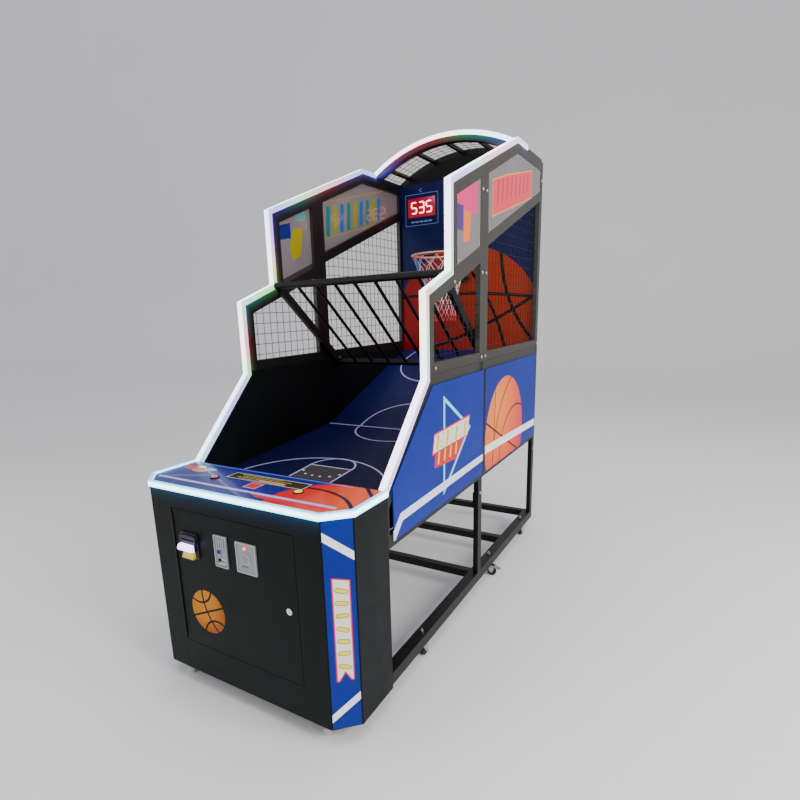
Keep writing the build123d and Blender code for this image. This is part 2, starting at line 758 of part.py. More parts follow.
speaker_x, speaker_z = 250.0, 480.0
with BuildPart() as speaker:
    with BuildSketch(Plane.XZ.offset(-rear_inside)):
        with Locations((speaker_x, speaker_z)):
            Circle(65)
    extrude(amount=8)
    with BuildSketch(Plane.XZ.offset(-(rear_inside - 8))):
        with Locations((speaker_x, speaker_z)):
            Circle(58)
    extrude(amount=34, taper=28)
    with BuildSketch(Plane.XZ.offset(-(rear_inside - 42))):
        with Locations((speaker_x, speaker_z)):
            Circle(36)
    extrude(amount=18)
speaker.part.label = "speaker"
export_step(speaker.part, "parts/speaker.step")

# Mains inlet: a flanged socket in the rear board, its mouth open to the rear.
inlet_body = 24.0
socket_width, socket_height, socket_depth = 23.0, 15.4, 15.0
with BuildPart() as power_inlet:
    with BuildSketch(Plane.XZ.offset(-cabinet_back)):
        with Locations((inlet_x, inlet_z)):
            RectangleRounded(48, 30, 4)
    extrude(amount=-3)
    with BuildSketch(Plane.XZ.offset(-cabinet_back)):
        with Locations((inlet_x, inlet_z)):
            Rectangle(inlet_width - 2 * gap, inlet_height - 2 * gap)
    extrude(amount=inlet_body)
    with BuildSketch(Plane.XZ.offset(-(cabinet_back + 3))):
        with Locations((inlet_x, inlet_z)):
            Rectangle(socket_width, socket_height)
    extrude(amount=socket_depth, mode=Mode.SUBTRACT)
    with BuildSketch(Plane.XZ.offset(-(cabinet_back + 3 - socket_depth))):
        with Locations((inlet_x - 7, inlet_z - 1), (inlet_x, inlet_z + 2), (inlet_x + 7, inlet_z - 1)):
            Rectangle(2, 4)
    extrude(amount=-9)
power_inlet.part.label = "power_inlet"
export_step(power_inlet.part, "parts/power_inlet.step")

# Levelling feet: a ribbed pad under a threaded stem.
foot_y = front + 52.0
with BuildPart() as levelling_feet:
    with Locations((-foot_spacing / 2, foot_y, 0), (foot_spacing / 2, foot_y, 0)):
        Cylinder(foot_radius, 12, align=(Align.CENTER, Align.CENTER, Align.MIN))
        Cylinder(foot_radius - 3, 30, align=(Align.CENTER, Align.CENTER, Align.MIN))
        Cylinder(foot_radius - 1, 26, align=(Align.CENTER, Align.CENTER, Align.MIN))
        Cylinder(6, ground_clearance - gap, align=(Align.CENTER, Align.CENTER, Align.MIN))
    with Locations((-foot_spacing / 2, foot_y, 50), (foot_spacing / 2, foot_y, 50)):
        Cylinder(11, 8, align=(Align.CENTER, Align.CENTER, Align.MIN))
levelling_feet.part.label = "levelling_feet"
export_step(levelling_feet.part, "parts/levelling_feet.step")

# ---------------------------------------------------------------- base frame
rail_out = tube_out
rail_in = tube_out - rail_size
caster_x = (rail_in + rail_out) / 2
# Each row of casters: its place along the rail, and the way its wheels trail, in degrees from +X.
caster_rows = {
    "front": (front + 620.0, 90.0),
    "middle": (front + 1480.0, 0.0),
    "rear": (front + 2090.0, 90.0),
}
cross_width, cross_height = 40.0, 40.0
middle_cross = (seam_y + rear) / 2 - 30.0
rear_cross = rear - tube_width / 2
base_tubes = both_sides([
    box_tube((rail_in, cabinet_back + gap, ground_clearance), (rail_out, seam_y, rail_top), "Y"),
    box_tube((rail_in, rear_module, ground_clearance), (rail_out, rear, rail_top), "Y"),
    box_tube((tube_in, front_post, rail_top + weld), (tube_out, seam_y, lower_top), "Z"),
    box_tube((tube_in, rear_post, rail_top + weld), (tube_out, rear, lower_top), "Z"),
    block((tube_in - 8, front_post + 8, 480), (tube_in - weld, front_post + 42, 560)),
])
for centre in (front_post + tube_width / 2, middle_cross, rear_cross):
    base_tubes.append(
        box_tube((-rail_in + weld, centre - cross_width / 2, rail_top - cross_height),
                 (rail_in - weld, centre + cross_width / 2, rail_top), "X")
    )
with BuildPart() as base_frame:
    add(base_tubes)
    for y, _ in caster_rows.values():
        with Locations((caster_x, y, ground_clearance), (-caster_x, y, ground_clearance)):
            Cylinder(stem_radius + gap, 3 * rail_size, mode=Mode.SUBTRACT)
base_frame.part.label = "base_frame"
export_step(base_frame.part, "parts/base_frame.step")

# ---------------------------------------------------------------- side walls
slope_foot = (cabinet_back + gap, cabinet_height)
outline = [
    slope_foot,
    (front + throat[0], throat[1]),
    (front + brow[0], brow[1]),
    (front + shelf[0], shelf[1]),
    (front + eave[0], eave[1]),
    (ridge_y, top_height),
    (rear, top_height),
]
tube_outer = offset_path(outline, led_width + gap)
tube_inner = offset_path(outline, led_width + gap + tube_width)

# Lower frames. The slanted tube runs up beside the light strip, on a short post at the cabinet.
post_front = cabinet_back + 1
post_back = post_front + tube_depth
top_rail_low = lower_top - tube_width


def slope_y(line, z):
    """Distance along Y where the lower slope's line reaches a height."""
    return line[0][0] + (z - line[0][1]) * (line[1][0] - line[0][0]) / (line[1][1] - line[0][1])


def slope_z(line, y):
    """Height of the lower slope's line at y."""
    return height_on(line[0], line[1], y)


lower_rail_top = lower_bottom + tube_width
lower_tubes = both_sides([
    box_tube((tube_in, post_front, lower_bottom), (tube_out, front_post - weld, lower_rail_top), "Y"),
    side_tube(
        [(post_front, lower_rail_top), (post_front, slope_z(tube_inner, post_front)),
         (post_back, slope_z(tube_inner, post_back)), (post_back, lower_rail_top)],
        tube_in, tube_out, tube_depth,
    ),
    side_tube(
        [(post_front, slope_z(tube_outer, post_front)), (slope_y(tube_outer, top_rail_low), top_rail_low),
         (slope_y(tube_inner, top_rail_low), top_rail_low),
         (post_front, slope_z(tube_inner, post_front) + weld)],
        tube_in, tube_out,
    ),
    side_tube(
        [(slope_y(tube_outer, lower_top), lower_top), (front_post, lower_top),
         (front_post, top_rail_low + weld), (slope_y(tube_outer, top_rail_low), top_rail_low + weld)],
        tube_in, tube_out,
    ),
    box_tube((tube_in, rear_module, lower_bottom), (tube_out, rear_post - weld, lower_rail_top), "Y"),
    box_tube((tube_in, rear_module, top_rail_low), (tube_out, rear_post - weld, lower_top), "Y"),
    box_tube((tube_in, rear_module, lower_rail_top + weld),
             (tube_out, rear_module + tube_width, top_rail_low - weld), "Z"),
])


ramp_foot = (cabinet_back, ramp_front_height)
ramp_crease = (crease_y, crease_height)
ramp_head = (board_face, ramp_rear_height)


def ramp_under(y):
    """Height of the ramp's underside, less a small clearance."""
    ends = (ramp_foot, ramp_crease) if y < crease_y else (ramp_crease, ramp_head)
    return height_on(*ends, y) - ramp_thickness - 1.5


bearer_width, bearer_height = 40.0, 20.0
bearer_half = liner_in - weld
for bearer in (cabinet_back + 40, (cabinet_back + crease_y) / 2, crease_y - 40,
               crease_y + 60, (crease_y + board_face) / 2, board_face - 60):
    low_edge = bearer - bearer_width / 2
    top = ramp_under(low_edge) - 1.0
    lower_corner = (-bearer_half, low_edge, top - bearer_height)
    lower_tubes.append(box_tube(lower_corner, (bearer_half, low_edge + bearer_width, top), "X"))
with BuildPart() as lower_frames:
    add(lower_tubes)
lower_frames.part.label = "lower_frames"
export_step(lower_frames.part, "parts/lower_frames.step")

# Blue side panels over the lower frames, in two lengths that meet at the seam.
panel_front = cabinet_back + 50.0
panel_shoulder = cabinet_height - 10.0
panel_crest = front + 700.0
panel_seam = 1.0
panel_rear = rear - 30.0
front_panel = side_plate(
    [(panel_front, panel_bottom), (panel_front, panel_shoulder), (panel_crest, panel_top),
     (seam_y - panel_seam, panel_top), (seam_y - panel_seam, panel_bottom)],
    tube_out + 0.1, wall_face,
)
rear_panel = side_plate(
    [(seam_y + panel_seam, panel_bottom), (seam_y + panel_seam, panel_top),
     (panel_rear, panel_top), (panel_rear, panel_bottom)],
    tube_out + 0.1, wall_face,
)
with BuildPart() as side_panels_right:
    add([front_panel, rear_panel])
side_panels_right.part.label = "side_panels_right"
export_step(side_panels_right.part, "parts/side_panels_right.step")

with BuildPart() as side_panels_left:
    add([front_panel.mirror(Plane.YZ), rear_panel.mirror(Plane.YZ)])
side_panels_left.part.label = "side_panels_left"
export_step(side_panels_left.part, "parts/side_panels_left.step")

# Black liners on the inside of the lower frames.
liner_low = 690.0
liner_high = lower_top - 2
liner_line = offset_path(outline[:2], led_width + gap)
liner = side_plate(
    [(post_front, liner_low), (post_front, slope_z(liner_line, post_front) - 4),
     (slope_y(liner_line, liner_high), liner_high), (board_face - 1, liner_high), (board_face - 1, liner_low)],
    liner_in, tube_in - 0.1,
)
with BuildPart() as inner_liners:
    add(both_sides([liner]))
inner_liners.part.label = "inner_liners"
export_step(inner_liners.part, "parts/inner_liners.step")

# Upper frames, front and rear module, stand on the lower frames.
upper_bottom = lower_top + 1.0
upper_rail = 44.0
upper_rail_top = upper_bottom + upper_rail
brow_outer, shelf_outer = tube_outer[2], tube_outer[3]
brow_inner = tube_inner[2]


def band(y):
    """Upper and lower height of the front slanted tube at y."""
    return height_on(brow_outer, shelf_outer, y), height_on(tube_inner[2], tube_inner[3], y)


def roof(y):
    """Upper and lower height of the long sloping top tube at y."""
    return height_on(tube_outer[4], tube_outer[5], y), height_on(tube_inner[4], tube_inner[5], y)


upright_front, upright_back = tube_outer[1][0], tube_inner[2][0]
step_front, step_back = tube_outer[3][0], tube_inner[4][0]
rear_front = rear_module + tube_width
rear_band_top = rear_slant_height
rear_slope = rear_slant_rise / (rear_post - rear_front)
rear_band = tube_width * sqrt(1 + rear_slope ** 2)
rear_band_end = rear_band_top + rear_slant_rise
upper_tubes = both_sides([
    side_tube(
        [(upright_front, upper_rail_top), brow_outer, brow_inner, (upright_back, upper_rail_top)],
        tube_in, tube_out,
    ),
    side_tube(
        [brow_outer, (front_post, band(front_post)[0]), (front_post, band(front_post)[1]), brow_inner],
        tube_in, tube_out,
    ),
    side_tube(
        [(step_front, band(step_front)[0] + weld), tube_outer[4], tube_inner[4],
         (step_back, band(step_back)[0] + weld)],
        tube_in, tube_out,
    ),
    side_tube(
        [tube_outer[4], (seam_y, roof(seam_y)[0]), (seam_y, roof(seam_y)[1]), tube_inner[4]],
        tube_in, tube_out,
    ),
    side_tube(
        [(front_post, upper_rail_top + weld), (front_post, roof(front_post)[1] - weld),
         (seam_y, roof(seam_y)[1] - weld), (seam_y, upper_rail_top + weld)],
        tube_in, tube_out,
    ),
    box_tube((tube_in, upright_front, upper_bottom), (tube_out, seam_y, upper_rail_top - weld), "Y"),
    side_tube(
        [(rear_module, upper_rail_top + weld), (rear_module, roof(rear_module)[1] - weld),
         (rear_front, roof(rear_front)[1] - weld), (rear_front, upper_rail_top + weld)],
        tube_in, tube_out,
    ),
    side_tube(
        [(rear_front, rear_band_top), (rear_post, rear_band_end),
         (rear_post, rear_band_end - rear_band), (rear_front, rear_band_top - rear_band)],
        tube_in, tube_out,
    ),
    side_tube(
        [(rear_module, roof(rear_module)[0]), tube_outer[5],
         tube_inner[5], (rear_module, roof(rear_module)[1])],
        tube_in, tube_out,
    ),
    side_tube([tube_outer[5], tube_outer[6], tube_inner[6], tube_inner[5]], tube_in, tube_out),
    box_tube((tube_in, rear_post, upper_rail_top + weld), (tube_out, rear, tube_inner[6][1] - weld), "Z"),
    box_tube((tube_in, rear_module, upper_bottom), (tube_out, rear, upper_rail_top - weld), "Y"),
])
bead = 20.0
bead_sheet = 3.0
shelf_bead = [
    (step_back + weld, band(step_back)[0] + weld), (step_back + weld, band(step_back)[0] + bead),
    (front_post - weld, band(front_post)[0] + bead), (front_post - weld, band(front_post)[0] + weld),
]
upper_tubes += both_sides([side_plate(shelf_bead, tube_out - bead_sheet, tube_out)])
rear_tie = 20.0
for low, high in ((1230.0, 1270.0), (2246.0, tube_outer[6][1])):
    upper_tubes.append(
        box_tube((-tube_in + weld, rear - rear_tie, low), (tube_in - weld, rear, high), "X")
    )
with BuildPart() as upper_frames:
    add(upper_tubes)
upper_frames.part.label = "upper_frames"
export_step(upper_frames.part, "parts/upper_frames.step")

# Openings of the upper frames, as side-view outlines.
mesh_front = [
    (upright_back, upper_rail_top), (upright_back, height_on(tube_inner[2], tube_inner[3], upright_back)),
    (front_post, band(front_post)[1]), (front_post, upper_rail_top),
]
mesh_rear = [
    (rear_front, upper_rail_top), (rear_front, rear_band_top - rear_band),
    (rear_post, rear_band_end - rear_band), (rear_post, upper_rail_top),
]
light_front = [
    (step_back, band(step_back)[0] + bead), (step_back, roof(step_back)[1]),
    (front_post, roof(front_post)[1]), (front_post, band(front_post)[0] + bead),
]
light_rear = [
    (rear_front, rear_band_top), (rear_front, roof(rear_front)[1]), tube_inner[5],
    (rear_post, tube_inner[6][1]), (rear_post, rear_band_end),
]


def inset(points, distance):
    """A closed outline that runs clockwise in the side view, moved inwards."""
    ring = offset_path([points[-1]] + points + [points[0]], distance)
    return ring[1:-1]


def mesh_wire(centre, turn, length, opening):
    """A round wire of the mesh, cut to the opening it crosses."""
    with BuildPart() as cut:
        with Locations(Location(centre, turn)):
            Cylinder(wire / 2, length)
        add(opening, mode=Mode.INTERSECT)
    return cut.part


def mesh_wires(points):
    """Wires that fill an opening of the frame: upright ones outside, level ones inside."""
    low_y = min(y for y, _ in points)
    high_y = max(y for y, _ in points)
    low_z = min(z for _, z in points)
    high_z = max(z for _, z in points)
    columns = int((high_y - low_y) / mesh_pitch)
    rows = int((high_z - low_z) / mesh_pitch) + 1
    middle = (tube_in + tube_out) / 2
    layer = (wire + weld) / 2
    opening = side_plate(inset(points, weld), middle - 2 * wire, middle + 2 * wire)
    wires = []
    for column in range(columns):
        y = (low_y + high_y) / 2 + mesh_pitch * (column - (columns - 1) / 2)
        centre = (middle + layer, y, (low_z + high_z) / 2)
        wires.append(mesh_wire(centre, (0, 0, 0), high_z - low_z + 10, opening))
    for row in range(rows):
        z = low_z + mesh_pitch * (row + 0.5)
        if z > high_z - wire:
            continue
        centre = (middle - layer, (low_y + high_y) / 2, z)
        wires.append(mesh_wire(centre, (90, 0, 0), high_y - low_y + 10, opening))
    return wires


with BuildPart() as mesh_panels:
    add(both_sides(mesh_wires(mesh_front) + mesh_wires(mesh_rear)))
mesh_panels.part.label = "mesh_panels"
export_step(mesh_panels.part, "parts/mesh_panels.step")

acrylic = 4.0
acrylic_face = tube_out - 2.0
with BuildPart() as light_panels:
    add(both_sides([
        side_plate(inset(light_front, gap), acrylic_face - acrylic, acrylic_face),
        side_plate(inset(light_rear, gap), acrylic_face - acrylic, acrylic_face),
    ]))
light_panels.part.label = "light_panels"
export_step(light_panels.part, "parts/light_panels.step")

# Light strips along the stepped front edges, in mitred lengths, up to the foot of the arch.
led_path = outline[:-1] + [(arch_y, top_height)]
led_inner = offset_path(led_path, led_width)
led_lengths = []
for a, b, c, d in zip(led_path, led_path[1:], led_inner[1:], led_inner):
    run = hypot(b[0] - a[0], b[1] - a[1])
    step = (weld / 2 * (b[0] - a[0]) / run, weld / 2 * (b[1] - a[1]) / run)
    quad = [
        (a[0] + step[0], a[1] + step[1]), (b[0] - step[0], b[1] - step[1]),
        (c[0] - step[0], c[1] - step[1]), (d[0] + step[0], d[1] + step[1]),
    ]
    if a == slope_foot:
        floor_end = cabinet_back + 1
        quad[3] = (floor_end, height_on(led_inner[0], led_inner[1], floor_end))
        quad[0] = (floor_end, height_on(led_path[0], led_path[1], floor_end))
    led_lengths.append(side_plate(quad, tube_in, wall_face))
with BuildPart() as wall_leds:
    add(both_sides(led_lengths))
wall_leds.part.label = "wall_leds"
export_step(wall_leds.part, "parts/wall_leds.step")

# ---------------------------------------------------------------- ramp
def ramp_section(start, end):
    """A board across the machine whose top runs between two points of the side view."""
    points = [start, end, (end[0], end[1] - ramp_thickness), (start[0], start[1] - ramp_thickness)]
    return side_plate(points, -ramp_half, ramp_half)


with BuildPart() as ramp_front:
    add(ramp_section((cabinet_back + gap, ramp_front_height), (crease_y - weld, crease_height)))
ramp_front.part.label = "ramp_front"
export_step(ramp_front.part, "parts/ramp_front.step")

with BuildPart() as ramp_rear:
    add(ramp_section((crease_y + weld, crease_height), (board_face - 1, ramp_rear_height)))
ramp_rear.part.label = "ramp_rear"
export_step(ramp_rear.part, "parts/ramp_rear.step")

# ---------------------------------------------------------------- backboard and displays
board_half = tube_in - 1.0
board_top_z = tube_outer[6][1]
display_places = [(-display_pitch, display_centre), (0, display_centre), (display_pitch, display_centre)]
with BuildPart() as back_panel:
    with BuildSketch(Plane.XZ.offset(-board_face)):
        with Locations((0, (backboard_bottom + board_top_z) / 2)):
            Rectangle(2 * board_half, board_top_z - backboard_bottom)
        with Locations(*display_places):
            Rectangle(display_width + 2 * gap, display_height + 2 * gap, mode=Mode.SUBTRACT)
    extrude(amount=-backboard_thickness)

arch_half = tube_out
arch_rise = overall_height - top_height
arch_radius = (arch_half ** 2 + arch_rise ** 2) / (2 * arch_rise)
arch_centre = overall_height - arch_radius
arch_led_width = 25.0
rib_width = 30.0
rib_outer = arch_radius - arch_led_width - gap
rib_inner = rib_outer - rib_width
arch_floor = board_top_z + weld
fill_radius = rib_inner - gap
with BuildPart() as arc_panel:
    with BuildSketch(Plane.XZ.offset(-board_face)):
        with Locations((0, arch_centre)):
            Circle(fill_radius)
        with Locations((0, arch_floor + weld)):
            Rectangle(2 * board_half, overall_height, align=(Align.CENTER, Align.MIN), mode=Mode.INTERSECT)
    extrude(amount=-4)
with BuildPart() as backboard:
    add([back_panel.part, arc_panel.part])
backboard.part.label = "backboard"
export_step(backboard.part, "parts/backboard.step")

display_proud = 2.0
housing_depth = 19.0
with BuildPart() as display_windows:
    with BuildSketch(Plane.XZ.offset(-(board_face - display_proud))):
        with Locations(*display_places):
            Rectangle(display_width, display_height)
    extrude(amount=-(display_proud + 5))
display_windows.part.label = "display_windows"
export_step(display_windows.part, "parts/display_windows.step")

with BuildPart() as display_housings:
    with BuildSketch(Plane.XZ.offset(-(board_face + backboard_thickness + weld))):
        with Locations(*display_places):
            Rectangle(display_width + 36, display_height + 50)
    extrude(amount=-housing_depth)
display_housings.part.label = "display_housings"
export_step(display_housings.part, "parts/display_housings.step")

# ---------------------------------------------------------------- hoop
rim_y = board_face - rim_reach
bracket_width, bracket_height, bracket_plate = 130.0, 90.0, 6.0
arm_spread = 45.0
arm_thickness = 5.0
hook_count = 12
hook_length = 12.0
hook_radius = 2.5
arm_start = rim_y + sqrt(rim_radius ** 2 - arm_spread ** 2)
with BuildPart() as hoop_rim:
    with BuildSketch(Plane.XZ.offset(-rim_y)):
        with Locations((rim_radius, rim_height)):
            Circle(rim_rod)
    revolve(axis=Axis((0, rim_y, 0), (0, 0, 1)))
    with BuildSketch(Plane.XZ.offset(-(board_face - weld))):
        with Locations((0, rim_height - bracket_height / 2 + rim_rod)):
            RectangleRounded(bracket_width, bracket_height, 8)
    extrude(amount=bracket_plate)
    for side in (-1, 1):
        with BuildSketch(Plane.YZ.offset(side * arm_spread - arm_thickness / 2)):
            with BuildLine():
                Polyline(
                    (arm_start, rim_height + rim_rod - 2), (board_face - 3, rim_height + rim_rod - 2),
                    (board_face - 3, rim_height - bracket_height + 30), (arm_start, rim_height - rim_rod + 2),
                    close=True,
                )
            make_face()
        extrude(amount=arm_thickness)
    with BuildSketch(Plane.XY.offset(rim_height + rim_rod - 5)):
        with Locations((0, (arm_start + board_face - 3) / 2)):
            Rectangle(2 * arm_spread, board_face - 3 - arm_start)
    extrude(amount=3)
    with BuildSketch(Plane.XY.offset(rim_height - rim_rod - hook_length)):
        with Locations((0, rim_y)):
            with PolarLocations(rim_radius, hook_count, start_angle=15):
                Circle(hook_radius)
    extrude(amount=hook_length + 4)
hoop_rim.part.label = "hoop_rim"
export_step(hoop_rim.part, "parts/hoop_rim.step")

# The net is a plain tapered sleeve, hung just inside the hooks.
net_top = rim_height - rim_rod - 2.0
net_bottom = net_top - net_length
net_head = rim_radius - hook_radius - gap
waist = net_top - net_length * 0.62
with BuildPart() as hoop_net:
    with BuildSketch(Plane.XZ.offset(-rim_y)):
        with BuildLine():
            ThreePointArc((net_head, net_top), (net_mouth + 16, waist), (net_mouth, net_bottom))
            Line((net_mouth, net_bottom), (net_mouth - net_wall, net_bottom))
            ThreePointArc(
                (net_mouth - net_wall, net_bottom), (net_mouth + 16 - net_wall, waist),
                (net_head - net_wall, net_top),
            )
            Line((net_head - net_wall, net_top), (net_head, net_top))
        make_face()
    revolve(axis=Axis((0, rim_y, 0), (0, 0, 1)))
hoop_net.part.label = "hoop_net"
export_step(hoop_net.part, "parts/hoop_net.step")

# Ball sensor on the backboard, below the bracket.
with BuildPart() as hoop_sensor:
    with Locations((0, board_face - weld, rim_height - bracket_height - 40)):
        Box(70, 28, 34, align=(Align.CENTER, Align.MAX, Align.CENTER))
    fillet(hoop_sensor.edges().group_by(Axis.Y)[0], 4)
    with BuildSketch(Plane.XZ.offset(-(board_face - weld - 28))):
        with Locations((-18, rim_height - bracket_height - 40), (18, rim_height - bracket_height - 40)):
            Circle(6)
    extrude(amount=3)
hoop_sensor.part.label = "hoop_sensor"
export_step(hoop_sensor.part, "parts/hoop_sensor.step")

# ---------------------------------------------------------------- guard in front of the hoop
guard_y = front + guard_front
guard_half = liner_in - gap
rail_wide, rail_deep = 20.0, 40.0
foot_bar = 25.0
lean = atan2(guard_drop, guard_run)
reach = hypot(guard_run, guard_drop)
down = (cos(lean), -sin(lean))
across = (sin(lean), cos(lean))


def hollow_bar(corners, low, high):
    """A square bar that runs along X, with side-view corners, as a tube with thin walls."""
    (y0, z0), (y1, z1), (y2, z2), (y3, z3) = corners
    centre_y, centre_z = (y0 + y1 + y2 + y3) / 4, (z0 + z1 + z2 + z3) / 4
    share = 1 - 2 * tube_wall / hypot(y1 - y0, z1 - z0)
    bore = [(centre_y + share * (y - centre_y), centre_z + share * (z - centre_z)) for y, z in corners]
    with BuildPart() as bar:
        add(side_plate(corners, low, high))
        add(side_plate(bore, low - 1, high + 1), mode=Mode.SUBTRACT)
    return bar.part


def leaning(start, end, half_depth):
    """Side-view corners of a bar in the guard's plane, between two distances down the slope."""
    corners = []
    for along, side in ((start, 1), (end, 1), (end, -1), (start, -1)):
        y = guard_y + down[0] * along + across[0] * side * half_depth
        z = guard_height + down[1] * along + across[1] * side * half_depth
        corners.append((y, z))
    return corners


with BuildPart() as guard_top_bar:
    with BuildSketch(Plane.YZ.offset(-tube_in + weld)):
        with Locations((guard_y, guard_height)):
            Circle(guard_tube)
            Circle(guard_tube - 2, mode=Mode.SUBTRACT)
    extrude(amount=2 * (tube_in - weld))
guard_pieces = [guard_top_bar.part]
guard_pieces += both_sides([
    side_tube(leaning(guard_tube + weld, reach, rail_deep / 2), guard_half - rail_wide, guard_half, rail_deep)
])
foot_reach = guard_half - rail_wide - weld
guard_pieces.append(hollow_bar(leaning(reach - foot_bar, reach, foot_bar / 2), -foot_reach, foot_reach))
bar_start = (guard_y + down[0] * (guard_tube + 1), guard_height + down[1] * (guard_tube + 1))
for index in range(guard_bars):
    x = (index - (guard_bars - 1) / 2) * guard_pitch
    with BuildPart() as bar:
        with BuildSketch(Plane(origin=(x, *bar_start), x_dir=(1, 0, 0), z_dir=(0, *down))):
            Circle(guard_bar_radius)
            Circle(guard_bar_radius - tube_wall, mode=Mode.SUBTRACT)
        extrude(amount=reach - foot_bar - guard_tube - 1 - weld)
    guard_pieces.append(bar.part)
with BuildPart() as guard_grille:
    add(guard_pieces)
guard_grille.part.label = "guard_grille"
export_step(guard_grille.part, "parts/guard_grille.step")

# ---------------------------------------------------------------- vaulted roof
rib_depth = 30.0
led_depth = 22.0


def arch_band(outer, inner, low_y, high_y):
    """Part of a ring in the front view, above the flat tops of the side walls."""
    with BuildPart() as ring:
        with BuildSketch(Plane.XZ.offset(-low_y)):
            with Locations((0, arch_centre)):
                Circle(outer)
                Circle(inner, mode=Mode.SUBTRACT)
            with Locations((0, arch_floor)):
                Rectangle(2 * arch_half, overall_height, align=(Align.CENTER, Align.MIN), mode=Mode.INTERSECT)
        extrude(amount=-(high_y - low_y))
    return ring.part


front_rib_back = arch_y + led_depth + rib_depth
rear_rib_front = rear - rib_depth
arch_pieces = [
    arch_band(rib_outer, rib_inner, arch_y + 2, front_rib_back),
    arch_band(rib_outer, rib_inner, rear_rib_front, rear),
]
purlin = 20.0
purlin_angle = 14.0
for index in range(-2, 3):
    angle = radians(index * purlin_angle)
    radius = rib_inner + purlin / 2 + 1
    start = (radius * sin(angle), front_rib_back + weld, arch_centre + radius * cos(angle))
    with BuildPart() as bar:
        with BuildSketch(Plane(origin=start, x_dir=(cos(angle), 0, -sin(angle)), z_dir=(0, 1, 0))):
            Rectangle(purlin, purlin)
            Rectangle(purlin - 3, purlin - 3, mode=Mode.SUBTRACT)
        extrude(amount=rear_rib_front - front_rib_back - 2 * weld)
    arch_pieces.append(bar.part)
arch_pieces += both_sides([
    block((tube_in, front_rib_back + weld, arch_floor), (tube_out, rear_rib_front - weld, arch_floor + 12))
])
with BuildPart() as arch_frame:
    add(arch_pieces)
arch_frame.part.label = "arch_frame"
export_step(arch_frame.part, "parts/arch_frame.step")

with BuildPart() as arch_led:
    add(arch_band(arch_radius, arch_radius - arch_led_width, arch_y + 2, arch_y + led_depth))
arch_led.part.label = "arch_led"
export_step(arch_led.part, "parts/arch_led.step")

# Wire vault over the purlins: a thin curved sheet with a grid of square holes.
vault_inner = rib_inner + purlin + 2.0
vault_y = (front_rib_back + rear_rib_front) / 2
vault_length = rear_rib_front - front_rib_back - 2 * weld
vault_rows = int(vault_length / mesh_pitch)
vault_columns = int(2 * (arch_half - 20) / mesh_pitch)
with BuildPart() as roof_mesh:
    with BuildSketch(Plane.XZ.offset(-(front_rib_back + weld))):
        with Locations((0, arch_centre)):
            Circle(vault_inner + wire)
            Circle(vault_inner, mode=Mode.SUBTRACT)
        with Locations((0, arch_floor + 12 + gap)):
            Rectangle(2 * arch_half - 4, overall_height, align=(Align.CENTER, Align.MIN), mode=Mode.INTERSECT)
    extrude(amount=-vault_length)
    with BuildSketch(Plane.XY.offset(arch_floor)):
        with Locations((0, vault_y)):
            with GridLocations(mesh_pitch, mesh_pitch, vault_columns, vault_rows):
                Rectangle(mesh_pitch - wire, mesh_pitch - wire)
    extrude(amount=overall_height - arch_floor, mode=Mode.SUBTRACT)
roof_mesh.part.label = "roof_mesh"
export_step(roof_mesh.part, "parts/roof_mesh.step")

# ---------------------------------------------------------------- casters
plate_top = ground_clearance - 4.0
plate_thickness = 5.0
yoke_radius = 18.0
cheek = 2.5
cheek_clear = 1.8
pedal_u, pedal_z = 34.0, 2 * wheel_radius + 4.0
pedal_hub = 4.5
pedal_reach = 34.0
pedal_pin = 2.0
cheek_y = wheel_width / 2 + cheek_clear + cheek / 2


def placed(piece, x, y, angle):
    """A caster piece drawn with its swivel axis on the origin and its trail along +X, put in place."""
    return piece.rotate(Axis.Z, angle).translate((x, y, 0))


def caster_fork(with_pedal):
    """Swivel yoke: a round plate on the stem, two cheeks, the riveted axle and the pedal's pin."""
    with BuildPart() as yoke:
        with BuildSketch(Plane.XY.offset(plate_top - plate_thickness)):
            Circle(yoke_radius)
            Circle(stem_radius + running, mode=Mode.SUBTRACT)
        extrude(amount=plate_thickness)
        for side in (-1, 1):
            with BuildSketch(Plane.XZ.offset(side * cheek_y - cheek / 2)):
                with BuildLine():
                    Polyline(
                        (-12, plate_top - 1), (-12, plate_top - 10), (trail - 7, wheel_radius - 6),
                        (trail + 7, wheel_radius - 6), (pedal_u + 5, pedal_z - 4), (pedal_u + 5, pedal_z + 4),
                        (14, plate_top - 1), close=True,
                    )
                make_face()
            extrude(amount=cheek)
        with Locations((trail, 0, wheel_radius)):
            Cylinder(axle_radius, 2 * cheek_y + cheek + 4, rotation=(90, 0, 0))
        if with_pedal:
            with Locations((pedal_u, 0, pedal_z)):
                Cylinder(pedal_pin, 2 * cheek_y, rotation=(90, 0, 0))
    return yoke.part


def caster_wheel():
    """A moulded wheel with a rounded tread and a bore that runs on the axle."""
    with BuildPart() as wheel:
        with Locations((trail, 0, wheel_radius)):
            Cylinder(wheel_radius, wheel_width, rotation=(90, 0, 0))
        fillet(wheel.edges().filter_by(GeomType.CIRCLE), 3)
        with BuildSketch(Plane.XZ.offset(-wheel_width / 2)):
            with Locations((trail, wheel_radius)):
                Circle(wheel_radius - 7)
                Circle(8, mode=Mode.SUBTRACT)
        extrude(amount=3, mode=Mode.SUBTRACT)
        with BuildSketch(Plane.XZ.offset(wheel_width / 2)):
            with Locations((trail, wheel_radius)):
                Circle(wheel_radius - 7)
                Circle(8, mode=Mode.SUBTRACT)
        extrude(amount=-3, mode=Mode.SUBTRACT)
        with Locations((trail, 0, wheel_radius)):
            Cylinder(axle_radius + running, wheel_width + 2, rotation=(90, 0, 0), mode=Mode.SUBTRACT)
    return wheel.part


